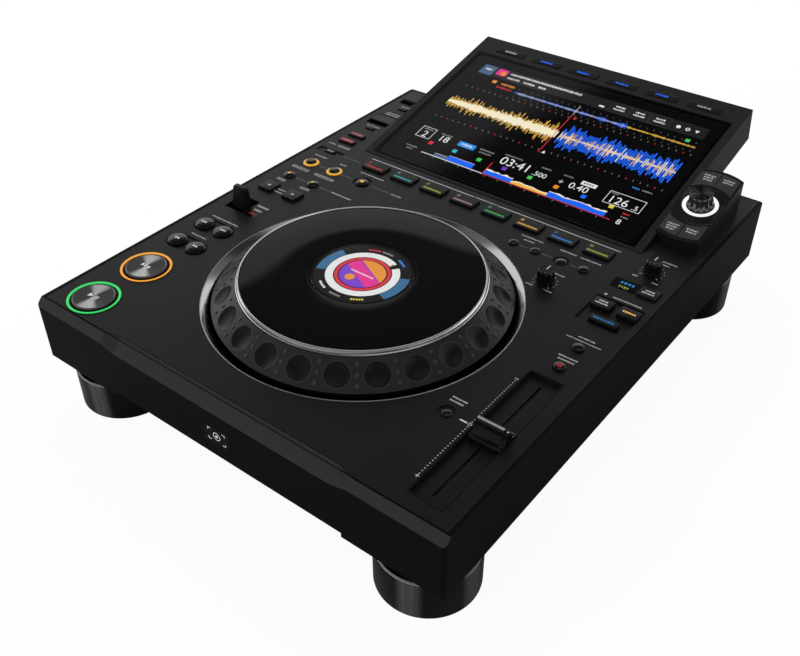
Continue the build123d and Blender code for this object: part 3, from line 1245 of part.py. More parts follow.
def pod_keys(side_v):
    """The two sector keys in front of or behind the selector, with flanges under the pod's top plate."""
    seat = POD_TOP_W - POD_TOP_PLATE
    top = POD_TOP_W + POD_KEY_TOP
    shapes = []
    for side_u in (-1, 1):
        cap = pod_sector(side_v, side_u, POD_KEY_SPLIT, POD_KEY_HALF_WIDTH, 0.0, seat, top)
        flange = pod_sector(side_v, side_u, POD_KEY_SPLIT, POD_FLANGE_HALF_WIDTH, POD_KEY_LIP,
                            seat - KEY_FLANGE_HEIGHT, seat)
        shapes.append(on_screen(cap + flange, POD_U, POD_V))
    return Compound(children=shapes)


def pod_ring_pocket():
    """The groove in the pod's top plate that holds the light ring."""
    depth = POD_TOP_PLATE / 2 + OVERCUT
    ring = Cylinder(RING_OUTER_RADIUS + GLASS_GAP, depth) - Cylinder(RING_INNER_RADIUS - GLASS_GAP, depth)
    return on_screen(ring, POD_U, POD_V, POD_TOP_W + OVERCUT - depth / 2)


def selector_pod():
    """The pod: a wall under a tilted top plate that laps over the screen housing's edge."""
    left = HOUSING_RIGHT_U - POD_U
    wall = POD_WALL
    under_plate = POD_TOP_W - POD_TOP_PLATE
    key_half = POD_KEY_HALF_WIDTH + POD_KEY_GAP
    split = POD_KEY_SPLIT - 2 * POD_KEY_GAP
    shape = pod_column(POD_RADIUS, left, POD_RIGHT_U)
    shape += pod_column(POD_RADIUS, left - POD_LAP, POD_RIGHT_U) & pod_slab(0.0, POD_TOP_W)
    shape -= pod_slab(POD_TOP_W, CASE_WIDTH)
    hollow = pod_column(POD_RADIUS - wall, left + wall, POD_RIGHT_U - wall)
    shape -= hollow - pod_slab(under_plate, CASE_WIDTH)
    for side_v in (-1, 1):
        for side_u in (-1, 1):
            hole = pod_sector(side_v, side_u, split, key_half, POD_KEY_GAP,
                              under_plate - KEY_TRAVEL, POD_TOP_W)
            shape -= on_screen(hole, POD_U, POD_V)
    shaft_hole = Cylinder(SELECTOR_SHAFT_RADIUS + SELECTOR_SHAFT_CLEARANCE, POD_TOP_PLATE)
    shape -= on_screen(shaft_hole, POD_U, POD_V, POD_TOP_W - POD_TOP_PLATE / 2)
    return shape - pod_ring_pocket()


def encoder():
    """The selector's rotary encoder, which stands on the deck under its shaft."""
    top = selector_shaft_bottom() - SWITCH_GAP
    body = on_screen(bar(0, 0, ENCODER_SIZE, ENCODER_SIZE, top - CASE_HEIGHT, top), POD_U, POD_V)
    return body & block(0, CASE_WIDTH, 0, CASE_DEPTH, 0, CASE_HEIGHT)


def selector_shaft_bottom():
    """How far down the selector's shaft reaches."""
    return POD_TOP_W + SELECTOR_GAP - SELECTOR_SHAFT_LENGTH


def selector_knob():
    """The faceted selector knob on its shaft."""
    bottom = POD_TOP_W + SELECTOR_GAP
    height = SELECTOR_TOP_W - bottom
    taper = math.degrees(math.atan2(SELECTOR_RADIUS - SELECTOR_TOP_RADIUS, height))
    head = Pos(0, 0, bottom) * extrude(RegularPolygon(SELECTOR_RADIUS, SELECTOR_FACETS), height, taper=taper)
    shaft = rod(0, 0, SELECTOR_SHAFT_RADIUS, selector_shaft_bottom(), bottom)
    return on_screen(head + shaft, POD_U, POD_V)


# ---- Inside and rear ----------------------------------------------------------------------------


def switch(x, y, key_bottom):
    """A tact switch on a key board, just under the lowest place of a key's stem."""
    return bar(x, y, SWITCH_SIZE, SWITCH_SIZE, BOARD_TOP, key_bottom - KEY_TRAVEL - SWITCH_GAP)


def board_plate(edges):
    """A flat board that hangs from the deck's bosses."""
    return block(*edges, BOARD_TOP - BOARD_THICKNESS, BOARD_TOP)


def switch_places():
    """Where every key's switch stands, with the height of the key's lowest face."""
    places = [(x, y, KEY_BOTTOM) for _, x, y, *_ in ROUND_KEYS + BAR_KEYS]
    return places + [(PLAY_X, y, PLAY_BOTTOM) for y in (PLAY_Y, CUE_Y)]


def key_boards():
    """The three key boards that hang from the deck's bosses, with their switches."""
    notch = bar(LEVER_X, LEVER_Y, LEVER_NOTCH_WIDTH, LEVER_NOTCH_DEPTH,
                BOARD_TOP - BOARD_THICKNESS, BOARD_TOP)
    boards = [
        (board_plate(LEFT_BOARD) - notch, LEFT_BOARD),
        (board_plate(REAR_BOARD) + board_plate(REAR_BOARD_LEFT_EAR) + board_plate(REAR_BOARD_RIGHT_EAR),
         REAR_BOARD),
        (board_plate(RIGHT_BOARD), RIGHT_BOARD),
        (board_plate(RIGHT_BOARD_EAR), RIGHT_BOARD_EAR),
    ]
    shapes = []
    for shape, (left, right, front, rear) in boards:
        for x, y, key_bottom in switch_places():
            if left < x < right and front < y < rear:
                shape += switch(x, y, key_bottom)
        shapes.append(shape)
    return [shapes[0], shapes[1], shapes[2] + shapes[3]]


def main_board():
    """The main board on its standoffs, with a processor, memory chips and a connector strip."""
    bottom = FLOOR_TOP + MAIN_BOARD_RISE
    top = bottom + BOARD_THICKNESS
    sink = top + PROCESSOR_HEIGHT
    shape = block(*MAIN_BOARD, bottom, top)
    shape += bar(PROCESSOR_X, PROCESSOR_Y, PROCESSOR_SIZE, PROCESSOR_SIZE, top, sink)
    shape += bar(PROCESSOR_X, PROCESSOR_Y, HEAT_SINK_SIZE, HEAT_SINK_SIZE, sink, sink + HEAT_SINK_HEIGHT)
    for i in range(MEMORY_CHIP_COUNT):
        y = MEMORY_CHIP_Y + MEMORY_CHIP_PITCH * i
        shape += bar(MEMORY_CHIP_X, y, MEMORY_CHIP_WIDTH, MEMORY_CHIP_DEPTH, top, top + MEMORY_CHIP_HEIGHT)
    shape += bar(CONNECTOR_X, CONNECTOR_Y, CONNECTOR_WIDTH, CONNECTOR_DEPTH, top, top + CONNECTOR_HEIGHT)
    return shape


def circuit_boards():
    """All boards: the main board on the floor, the key boards under the deck and the encoder."""
    return Compound(children=[main_board(), encoder()] + key_boards())


def power_supply():
    """The closed power supply box beside the main board."""
    rear = CASE_DEPTH - CASE_WALL - INLET_DEPTH
    shape = block(POWER_LEFT, POWER_RIGHT, rear - POWER_DEPTH, rear, FLOOR_TOP, FLOOR_TOP + POWER_HEIGHT)
    return chamfer(shape.faces().sort_by(Axis.Z)[-1].edges(), POWER_EDGE)


def socket_windows():
    """The windows in the rear wall: x, width and height of each."""
    windows = [(INLET_X, INLET_WIDTH, INLET_HEIGHT), (LAN_X, LAN_WIDTH, LAN_HEIGHT)]
    windows += [(x, 2 * PHONO_RADIUS, 2 * PHONO_RADIUS) for x in PHONO_X]
    return windows


def mains_inlet():
    """The mains inlet: a shell with three flat pins inside."""
    rear = CASE_DEPTH
    bore_front = rear - INLET_BORE_DEPTH
    half = INLET_WIDTH / 2
    half_bore = INLET_BORE_WIDTH / 2
    shape = block(INLET_X - half, INLET_X + half, rear - INLET_DEPTH, rear,
                  SOCKET_Z - INLET_HEIGHT / 2, SOCKET_Z + INLET_HEIGHT / 2)
    shape -= block(INLET_X - half_bore, INLET_X + half_bore, bore_front, rear,
                   SOCKET_Z - INLET_BORE_HEIGHT / 2, SOCKET_Z + INLET_BORE_HEIGHT / 2)
    for step, lift in ((-1, 0.0), (0, INLET_PIN_RAISE), (1, 0.0)):
        x = INLET_X + step * INLET_PIN_SPREAD
        z = SOCKET_Z + lift
        shape += block(x - INLET_PIN_WIDTH / 2, x + INLET_PIN_WIDTH / 2, bore_front, rear - INLET_PIN_SHORT,
                       z - INLET_PIN_HEIGHT / 2, z + INLET_PIN_HEIGHT / 2)
    return shape


def phono_socket(x):
    """A phono socket: a square body inside the wall and a round barrel that stands out of it."""
    inner_face = CASE_DEPTH - CASE_WALL
    body = bar(x, inner_face - PHONO_BODY / 2, PHONO_BODY, PHONO_BODY, SOCKET_Z - PHONO_BODY / 2,
               SOCKET_Z + PHONO_BODY / 2)
    reach = CASE_WALL + PHONO_LENGTH
    barrel = Pos(x, inner_face + reach / 2, SOCKET_Z) * (Rot(90, 0, 0) * Cylinder(PHONO_RADIUS, reach))
    bore = Pos(x, inner_face + reach / 2, SOCKET_Z) * (Rot(90, 0, 0) * Cylinder(PHONO_BORE_RADIUS, reach))
    return body + barrel - bore


def lan_socket():
    """The network socket."""
    rear = CASE_DEPTH
    shape = block(LAN_X - LAN_WIDTH / 2, LAN_X + LAN_WIDTH / 2, rear - LAN_DEPTH, rear,
                  SOCKET_Z - LAN_HEIGHT / 2, SOCKET_Z + LAN_HEIGHT / 2)
    return shape - block(LAN_X - LAN_BORE_WIDTH / 2, LAN_X + LAN_BORE_WIDTH / 2, rear - LAN_BORE_DEPTH, rear,
                         SOCKET_Z - LAN_BORE_HEIGHT / 2, SOCKET_Z + LAN_BORE_HEIGHT / 2)


def usb_socket():
    """The upright socket on the floor of the storage port's well."""
    bottom = -PORT_DEPTH
    front = PORT_FRONT_Y + USB_FRONT_GAP
    rear = front + USB_DEPTH
    left = PORT_X - USB_WIDTH / 2
    right = PORT_X + USB_WIDTH / 2
    wall = USB_WALL
    shape = block(left, right, front, rear, bottom, bottom + USB_HEIGHT)
    return shape - block(left + wall, right - wall, front + wall + USB_TONGUE, rear - wall,
                         bottom + wall, bottom + USB_HEIGHT)


def sockets():
    """The sockets in the rear wall and the one in the storage port."""
    return Compound(children=[mains_inlet(), lan_socket(), usb_socket()] + [phono_socket(x) for x in PHONO_X])


# ---- The whole part -----------------------------------------------------------------------------


def key_nodes():
    """Every push key by node name. A node with more than one key holds them as separate solids."""
    groups = {}
    for name, x, y, radius, top in ROUND_KEYS:
        groups.setdefault(name, []).append(round_key(x, y, radius, top))
    for name, x, y, width, depth, top in BAR_KEYS:
        groups.setdefault(name, []).append(bar_key(x, y, width, depth, top))
    return {name: shapes[0] if len(shapes) == 1 else Compound(children=shapes)
            for name, shapes in groups.items()}


def all_nodes():
    """Every node of the part, in deck coordinates."""
    nodes = {
        "lower_case": lower_case(),
        "deck_panel": deck_panel(),
        "feet": feet(),
        "case_screws": case_screws(),
        "screen_housing": screen_housing(),
        "screen_glass": screen_glass(),
        "display_panel": display_panel(),
        "screen_keys": screen_keys(),
        "selector_pod": selector_pod(),
        "selector_knob": selector_knob(),
        "pod_keys_front": pod_keys(-1),
        "pod_keys_rear": pod_keys(1),
        "light_rings": light_rings(),
        "jog_bezel": jog_bezel(),
        "jog_bearing": jog_bearing(),
        "jog_wheel": jog_wheel(),
        "jog_rim": jog_rim(),
        "jog_platter": jog_platter(),
        "jog_window": jog_window(),
        "jog_display": jog_display(),
        "play_key": play_key(PLAY_Y),
        "cue_key": play_key(CUE_Y),
        "direction_lever": direction_lever(),
        "feel_knob": knob(FEEL_X, FEEL_Y),
        "speed_knob": knob(SPEED_X, SPEED_Y),
        "tempo_fader": tempo_fader(),
        "fader_track": fader_track(),
        "usb_lid": usb_lid(),
        "circuit_boards": circuit_boards(),
        "power_supply": power_supply(),
        "sockets": sockets(),
    }
    nodes.update(key_nodes())
    return nodes


if __name__ == "__main__":
    os.makedirs("parts", exist_ok=True)
    for node, shape in all_nodes().items():
        export_step(to_part_frame(shape), os.path.join("parts", node + ".step"))
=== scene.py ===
import math
import random

import bmesh
import bpy
from bpy.props import FloatProperty, FloatVectorProperty, IntProperty, PointerProperty
from mathutils import Matrix, Vector, noise


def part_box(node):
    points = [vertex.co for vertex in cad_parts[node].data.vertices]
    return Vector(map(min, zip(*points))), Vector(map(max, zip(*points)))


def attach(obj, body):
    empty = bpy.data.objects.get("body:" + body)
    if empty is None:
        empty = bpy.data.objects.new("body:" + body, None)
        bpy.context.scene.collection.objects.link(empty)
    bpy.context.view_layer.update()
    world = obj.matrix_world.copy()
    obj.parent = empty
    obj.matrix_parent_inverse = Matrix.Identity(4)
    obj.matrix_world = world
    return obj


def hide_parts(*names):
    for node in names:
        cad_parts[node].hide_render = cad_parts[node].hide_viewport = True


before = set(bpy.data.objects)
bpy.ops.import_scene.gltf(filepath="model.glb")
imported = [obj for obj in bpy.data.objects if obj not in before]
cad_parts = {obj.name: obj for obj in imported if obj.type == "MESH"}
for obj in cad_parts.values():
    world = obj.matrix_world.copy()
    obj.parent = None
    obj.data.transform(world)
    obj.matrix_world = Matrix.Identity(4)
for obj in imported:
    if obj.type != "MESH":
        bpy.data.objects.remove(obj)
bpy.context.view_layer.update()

bl_info = {
    "name": "Tabletop media player",
    "version": (1, 0, 0),
    "blender": (4, 5, 0),
    "location": "View3D > Sidebar > Player",
    "description": "Builds the finish of a tabletop media player round its packed construction",
    "category": "Object",
}

MM = 0.001
AXIS = 0.02  # the smallest radius of a turned ring, in millimetres

# ---- Places ---------------------------------------------------------------------------------------

# Deck coordinates are millimetres: x from the case's left side, y from its front face and z from the
# deck's top face.
CASE_LOW, CASE_HIGH = (Vector(corner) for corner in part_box("lower_case"))
DECK_TOP = Vector(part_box("deck_panel")[1])
ORIGIN = Vector((CASE_LOW.x, CASE_LOW.y, DECK_TOP.z))
GLASS_LOW, GLASS_HIGH = (Vector(corner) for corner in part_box("screen_glass"))
PLAYER = "player"


def on_deck(point):
    """A place in deck coordinates, in metres of the shared frame."""
    return ORIGIN + Vector(point) * MM


def screen_matrix():
    """The screen's tilted frame: u across from the middle, v up the slope and w out of the glass."""
    tilt = bpy.context.scene.player_screen.tilt
    height = bpy.context.scene.player_screen.glass_height
    foot = Vector(((GLASS_LOW.x + GLASS_HIGH.x) / 2, GLASS_LOW.y, GLASS_HIGH.z - height * math.sin(tilt)))
    return Matrix.Translation(foot) @ Matrix.Rotation(tilt, 4, "X")


def on_screen(point):
    """A place on the screen's face, in metres of the shared frame."""
    return screen_matrix() @ (Vector(point) * MM)


def node_middle(node):
    """The deck coordinates of the middle of a node's box, and its size, in millimetres."""
    low, high = (Vector(corner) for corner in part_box(node))
    return ((low + high) / 2 - ORIGIN) / MM, (high - low) / MM


def node_seat(node):
    """The middle of a node across the deck, and its bottom and top, in millimetres."""
    middle, size = node_middle(node)
    return middle.x, middle.y, middle.z - size.z / 2, middle.z + size.z / 2


# ---- Outlines and profiles --------------------------------------------------------------------------


def softened(points, radius, steps=4, closed=False):
    """A line whose corners are rounded. Each curve keeps to half of its shorter side."""
    points = [Vector(point) for point in points]
    count = len(points)
    result = []
    for i, corner in enumerate(points):
        if not closed and i in (0, count - 1):
            result.append(corner)
            continue
        before = points[i - 1] - corner
        after = points[(i + 1) % count] - corner
        turn = math.pi - before.angle(after)
        reach = min(radius * math.tan(turn / 2), before.length / 2, after.length / 2)
        start = corner + before.normalized() * reach
        end = corner + after.normalized() * reach
        for step in range(steps + 1):
            t = step / steps
            result.append(start * (1 - t) ** 2 + corner * 2 * t * (1 - t) + end * t ** 2)
    return [tuple(point) for point in result]


def circle(x, y, radius, count=32, start=0.0, sweep=math.tau):
    """Points on a circle, or on an arc of it."""
    whole = abs(sweep - math.tau) < 1e-6
    parts = count if whole else count - 1
    angles = [start + sweep * i / parts for i in range(count)]
    return [(x + radius * math.cos(a), y + radius * math.sin(a)) for a in angles]


def rounded_box(x, y, width, depth, corner, steps=4):
    """A rectangle with round corners, anticlockwise."""
    corner = max(min(corner, width / 2 - 0.01, depth / 2 - 0.01), 0.01)
    points = []
    for quarter, (side_x, side_y) in enumerate(((1, 1), (-1, 1), (-1, -1), (1, -1))):
        cx = x + side_x * (width / 2 - corner)
        cy = y + side_y * (depth / 2 - corner)
        points += circle(cx, cy, corner, steps + 1, quarter * math.pi / 2, math.pi / 2)
    return points


def sector(x, y, inner, outer, start, sweep, count=24):
    """An outline between two arcs."""
    near = circle(x, y, inner, count, start, sweep)
    return circle(x, y, outer, count, start, sweep) + near[::-1]


def lifted(outline, height):
    """An outline's points at a height."""
    return [(x, y, height) for x, y in outline]


def turn_steps(count):
    """The angles of equal steps round a full turn."""
    return [math.tau * i / count for i in range(count)]


class Shape:
    """A mesh in the making, in millimetres of the deck or of the screen."""

    def __init__(self, where=on_deck):
        self.where = where
        self.verts = []
        self.faces = []
        self.slots = []

    def add(self, verts, faces, slot=0):
        """Add points and faces of one material."""
        first = len(self.verts)
        self.verts += [tuple(vert) for vert in verts]
        self.faces += [tuple(first + i for i in face) for face in faces]
        self.slots += [slot] * len(faces)

    def rings(self, rings, slot=0, close_start=True, close_end=True, loop=False):
        """Skin a row of equal rings. Its ends are closed with a face each, or joined in a loop."""
        count = len(rings[0])
        pairs = list(zip(range(len(rings)), range(1, len(rings))))
        if loop:
            pairs.append((len(rings) - 1, 0))
        faces = []
        for a, b in pairs:
            for i in range(count):
                j = (i + 1) % count
                faces.append((a * count + i, a * count + j, b * count + j, b * count + i))
        if close_start and not loop:
            faces.append(tuple(range(count))[::-1])
        if close_end and not loop:
            last = (len(rings) - 1) * count
            faces.append(tuple(range(last, last + count)))
        self.add([vert for ring in rings for vert in ring], faces, slot)

    def turned(self, x, y, profile, slot=0, count=64, loop=False):
        """A turned shape about an upright axis, from (radius, z) points."""
        rings = [lifted(circle(x, y, max(radius, AXIS), count), z) for radius, z in profile]
        self.rings(rings, slot, loop=loop)

    def slab(self, x, y, width, depth, corner, profile, slot=0):
        """A block with round corners, from (inset, z) points of its side."""
        self.rings([lifted(rounded_box(x, y, width - 2 * inset, depth - 2 * inset, corner - inset), z)
                    for inset, z in profile], slot)

    def prism(self, outline, low, high, slot=0):
        """An outline drawn up from one height to another."""
        self.rings([lifted(outline, z) for z in (low, high)], slot)

    def mark(self, x0, x1, y0, y1, z, slot=0, corner=0.0, thick=0.04):
        """A thin printed mark, square or with round corners."""
        outline = [(x0, y0), (x1, y0), (x1, y1), (x0, y1)]
        if corner:
            outline = rounded_box((x0 + x1) / 2, (y0 + y1) / 2, abs(x1 - x0), abs(y1 - y0), corner, 3)
        self.polygon_mark(outline, z, slot, thick)

    def words(self, x0, x1, y, z, slot=0, height=1.5):
        """A row of small upright blocks, which stands where a word is printed."""
        chance = random.Random(round(x0 * 31 + y * 17 + z))
        x = x0
        while x < x1 - 0.3:
            width = min(height * chance.choice((0.3, 0.5, 0.6, 0.7)), x1 - x)
            low = y - height / 2 + height * chance.choice((0.0, 0.0, 0.12))
            high = y + height / 2 - height * chance.choice((0.0, 0.0, 0.12))
            self.mark(x, x + width, low, high, z, slot)
            x += width + height * 0.36

    def polygon_mark(self, points, z, slot=0, thick=0.04):
        """A thin printed mark of any outline."""
        self.prism(points, z - thick / 2, z + thick, slot)

    def done(self, name, body, finishes, replaces=(), slot="", sharp=35.0):
        """Make the piece, give it its finishes or materials and let it ride on its body."""
        mesh = bpy.data.meshes.new(name)
        mesh.from_pydata([self.where(vert) for vert in self.verts], [], self.faces)
        for item in finishes:
            mesh.materials.append(finish(item) if isinstance(item, str) else item)
        for polygon, index in zip(mesh.polygons, self.slots):
            polygon.material_index = index
        work = bmesh.new()
        work.from_mesh(mesh)
        bmesh.ops.recalc_face_normals(work, faces=work.faces)
        work.to_mesh(mesh)
        work.free()
        mesh.shade_smooth()
        mesh.set_sharp_from_angle(angle=math.radians(sharp))
        piece = bpy.data.objects.new(name, mesh)
        bpy.context.scene.collection.objects.link(piece)
        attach(piece, body)
        for node in replaces:
            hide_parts(node)
        return piece


# ---- Shader building ----------------------------------------------------------------------------------


def add_node(tree, kind, inputs=None, **settings):
    """Add a node. A socket given as an input is linked, and any other value is set."""
    made = tree.nodes.new(kind)
    for key, value in settings.items():
        setattr(made, key, value)
    for key, value in (inputs or {}).items():
        if isinstance(value, bpy.types.NodeSocket):
            tree.links.new(value, made.inputs[key])
        else:
            made.inputs[key].default_value = value
    return made


def math_node(tree, operation, *values):
    """Add a Math node and return its result."""
    return add_node(tree, "ShaderNodeMath", dict(enumerate(values)), operation=operation).outputs[0]


def vector_math(tree, operation, *values):
    """Add a Vector Math node and return its outputs."""
    return add_node(tree, "ShaderNodeVectorMath", dict(enumerate(values)), operation=operation).outputs


def scaled(tree, vector, factor):
    """A vector or colour times a factor."""
    return add_node(tree, "ShaderNodeVectorMath", {0: vector, "Scale": factor}, operation="SCALE").outputs[0]


def map_range(tree, value, low, high, source=(0.0, 1.0), **settings):
    """Carry a value from its source range to the range from low to high."""
    return add_node(tree, "ShaderNodeMapRange", {"Value": value, "From Min": source[0], "From Max": source[1],
                                                 "To Min": low, "To Max": high}, **settings).outputs[0]


def mixed_colour(tree, factor, first, second):
    """Mix two colours by a factor and return the result."""
    return add_node(tree, "ShaderNodeMix", {0: factor, 6: first, 7: second}, data_type="RGBA").outputs[2]


def rgba(colour):
    """A colour with full cover."""
    return tuple(colour) + (1.0,)


def new_group(name, inputs, outputs):
    """A shader node group with named sockets. Each socket is given as name: kind or default."""
    tree = bpy.data.node_groups.new(name, "ShaderNodeTree")
    kinds = {"colour": "NodeSocketColor", "vector": "NodeSocketVector", "value": "NodeSocketFloat"}
    for label, (kind, default) in inputs.items():
        socket = tree.interface.new_socket(label, in_out="INPUT", socket_type=kinds[kind])
        socket.default_value = default
    for label, kind in outputs.items():
        tree.interface.new_socket(label, in_out="OUTPUT", socket_type=kinds[kind])
    entry = tree.nodes.new("NodeGroupInput")
    leave = tree.nodes.new("NodeGroupOutput")
    return tree, entry.outputs, leave.inputs


def object_place(tree):
    """The point's place in the shared frame, in millimetres."""
    return scaled(tree, add_node(tree, "ShaderNodeTexCoord").outputs["Object"], 1 / MM)


def arm_from(tree, centre):
    """The level part of the way from a centre to the point."""
    arm = vector_math(tree, "SUBTRACT", object_place(tree), centre)[0]
    return vector_math(tree, "MULTIPLY", arm, (1, 1, 0))[0]


def noise_value(tree, place, scale, detail=3.0):
    """Noise between 0 and 1 at a scale given in waves per millimetre."""
    made = add_node(tree, "ShaderNodeTexNoise", {"Vector": place, "Scale": scale, "Detail": detail})
    return made.outputs["Fac"]


CHAMFER_NORMAL = (0, -0.668, 0.745)


def moulded_group():
    """Moulded plastic: a fine spark texture, slow colour drift, a painted highlight on rounded edges and a painted
    sheen on the front slope.
    """
    tree, given, out = new_group("Moulded surface", {
        "Colour": ("colour", (0.02, 0.02, 0.02, 1)), "Edge colour": ("colour", (0.06, 0.06, 0.06, 1)),
        "Roughness": ("value", 0.5), "Texture scale": ("value", 2.5), "Edge radius": ("value", 0.0003),
        "Bump": ("value", 0.1), "Slope wear": ("value", 0.0)},
        {"Colour": "colour", "Roughness": "value", "Normal": "vector"})
    place = object_place(tree)
    grain = noise_value(tree, place, given["Texture scale"], 2.0)
    drift = noise_value(tree, place, 0.03, 3.0)
    rounded = add_node(tree, "ShaderNodeBevel", {"Radius": given["Edge radius"]}, samples=4).outputs[0]
    flat = add_node(tree, "ShaderNodeNewGeometry").outputs["Normal"]
    facing = vector_math(tree, "DOT_PRODUCT", rounded, flat)["Value"]
    # painted highlight: rounded edges turn towards the edge highlight colour
    edge = map_range(tree, facing, 0.0, 0.8, (1.0, 0.86))
    drifted = scaled(tree, given["Colour"], map_range(tree, drift, 0.82, 1.18))
    # painted sheen: faces turned like the front chamfer are lightened by the slope gain
    slope = vector_math(tree, "DOT_PRODUCT", flat, CHAMFER_NORMAL)["Value"]
    slope_sheen = map_range(tree, slope, 0.0, given["Slope wear"], (0.93, 0.99))
    painted_highlight = math_node(tree, "MAXIMUM", edge, slope_sheen)
    tree.links.new(mixed_colour(tree, painted_highlight, drifted, given["Edge colour"]), out["Colour"])
    spread = map_range(tree, grain, -0.07, 0.07)
    tree.links.new(math_node(tree, "ADD", given["Roughness"], spread), out["Roughness"])
    bump = add_node(tree, "ShaderNodeBump", {"Strength": given["Bump"], "Distance": 0.00008,
                                             "Height": grain, "Normal": rounded})
    tree.links.new(bump.outputs[0], out["Normal"])
    return tree


def turned_group():
    """Concentric tool marks round a centre: fine rings that vary in depth and gloss."""
    tree, given, out = new_group("Turned marks", {
        "Centre": ("vector", (0, 0, 0)), "Colour": ("colour", (0.5, 0.5, 0.5, 1)),
        "Roughness": ("value", 0.3), "Rings per mm": ("value", 2.0), "Contrast": ("value", 0.2)},
        {"Colour": "colour", "Roughness": "value", "Height": "value"})
    radius = vector_math(tree, "LENGTH", arm_from(tree, given["Centre"]))["Value"]
    rings = add_node(tree, "ShaderNodeTexNoise", {
        "W": math_node(tree, "MULTIPLY", radius, given["Rings per mm"]), "Scale": 1.0, "Detail": 2.0},
        noise_dimensions="1D").outputs["Fac"]
    centred = math_node(tree, "SUBTRACT", rings, 0.5)
    change = math_node(tree, "MULTIPLY", centred, given["Contrast"])
    scale = math_node(tree, "ADD", math_node(tree, "MULTIPLY", change, 2.0), 1.0)
    tree.links.new(scaled(tree, given["Colour"], scale), out["Colour"])
    tree.links.new(math_node(tree, "ADD", given["Roughness"], change), out["Roughness"])
    tree.links.new(rings, out["Height"])
    return tree


def streak_highlight_group():
    """Fine streaks that run out from a centre, as on a spun or polished cap, over a painted highlight that lightens the
    colour in lobes round the centre.
    """
    tree, given, out = new_group("Radial streaks", {
        "Centre": ("vector", (0, 0, 0)), "Colour": ("colour", (0.5, 0.5, 0.5, 1)),
        "Light colour": ("colour", (0.9, 0.9, 0.9, 1)), "Roughness": ("value", 0.3),
        "Streaks": ("value", 2.0), "Start": ("value", 0.0)}, {"Colour": "colour", "Roughness": "value"})
    ray = vector_math(tree, "NORMALIZE", arm_from(tree, given["Centre"]))[0]
    parts = add_node(tree, "ShaderNodeSeparateXYZ", {0: ray}).outputs
    turned = math_node(tree, "ADD", math_node(tree, "ARCTAN2", parts[1], parts[0]), given["Start"])
    # painted highlight: the colour lightens in lobes round the centre
    wave = math_node(tree, "SINE", math_node(tree, "MULTIPLY", turned, given["Streaks"]))
    highlight_lobes = map_range(tree, wave, 0.0, 1.0, (0.1, 1.0), interpolation_type="SMOOTHSTEP")
    fine = noise_value(tree, vector_math(tree, "MULTIPLY", ray, (9, 9, 9))[0], 3.0, 4.0)
    mask = math_node(tree, "MULTIPLY", highlight_lobes, math_node(tree, "ADD", fine, 0.35))
    tree.links.new(mixed_colour(tree, mask, given["Colour"], given["Light colour"]), out["Colour"])
    spread = math_node(tree, "MULTIPLY", math_node(tree, "SUBTRACT", fine, 0.5), 0.2)
    tree.links.new(math_node(tree, "ADD", given["Roughness"], spread), out["Roughness"])
    return tree


def raster_group():
    """The dot raster of a display or the soft spots of a lit legend, over a colour."""
    tree, given, out = new_group("Lit raster", {
        "Colour": ("colour", (1, 1, 1, 1)), "Dots per mm": ("value", 3.0), "Depth": ("value", 0.15)},
        {"Colour": "colour"})
    cells = vector_math(tree, "FRACTION", scaled(tree, object_place(tree), given["Dots per mm"]))[0]
    parts = add_node(tree, "ShaderNodeSeparateXYZ", {0: cells}).outputs
    lines = math_node(tree, "MINIMUM", parts[0], parts[1])
    gap = map_range(tree, lines, 1.0, 0.0, (0.0, 0.25))
    dark = math_node(tree, "SUBTRACT", 1.0, math_node(tree, "MULTIPLY", gap, given["Depth"]))
    tree.links.new(scaled(tree, given["Colour"], dark), out["Colour"])
    return tree


GROUPS = {}


def group(name):
    """A shared node group, made the first time that a material asks for it."""
    makers = {"moulded": moulded_group, "turned": turned_group, "streak": streak_highlight_group, "raster": raster_group}
    if name not in GROUPS:
        GROUPS[name] = makers[name]()
    return GROUPS[name]


def new_material(name):
    """A material with its Principled shader at hand."""
    material = bpy.data.materials.new(name)
    material.use_nodes = True
    tree = material.node_tree
    return material, tree, tree.nodes["Principled BSDF"]


def use_group(tree, shader, name, settings, links):
    """Place a shared group in a material and link its outputs to the shader."""
    made = add_node(tree, "ShaderNodeGroup", node_tree=group(name))
    for key, value in settings.items():
        made.inputs[key].default_value = value
    for output, target in links.items():
        tree.links.new(made.outputs[output], shader.inputs[target])
    return made


def moulded(name, colour, roughness, specular=0.3, bump=0.12, scale=2.5, edge=0.0003, edge_highlight_gain=2.2, slope=0.0):
    """A moulded plastic or rubber. Its rounded edges get a painted highlight, and the slope value paints a sheen on the
    front chamfer.
    """
    material, tree, shader = new_material(name)
    edge_highlight_colour = [min(part * edge_highlight_gain + 0.004, 1.0) for part in colour]
    use_group(tree, shader, "moulded",
              {"Colour": rgba(colour), "Edge colour": rgba(edge_highlight_colour), "Roughness": roughness,
               "Texture scale": scale, "Edge radius": edge, "Bump": bump, "Slope wear": slope},
              {"Colour": "Base Color", "Roughness": "Roughness", "Normal": "Normal"})
    shader.inputs["Specular IOR Level"].default_value = specular
    return material


def turned_metal(name, colour, roughness, centre, rings=2.0, contrast=0.15, metallic=1.0, specular=0.5, bump=0.15):
    """A metal or gloss surface with concentric tool marks round a place on the deck."""
    material, tree, shader = new_material(name)
    made = use_group(tree, shader, "turned",
                     {"Centre": on_deck(centre) / MM, "Colour": rgba(colour), "Roughness": roughness,
                      "Rings per mm": rings, "Contrast": contrast},
                     {"Colour": "Base Color", "Roughness": "Roughness"})
    height = add_node(tree, "ShaderNodeBump", {"Strength": bump, "Distance": 0.00005,
                                               "Height": made.outputs["Height"]})
    tree.links.new(height.outputs[0], shader.inputs["Normal"])
    shader.inputs["Metallic"].default_value = metallic
    shader.inputs["Specular IOR Level"].default_value = specular
    return material


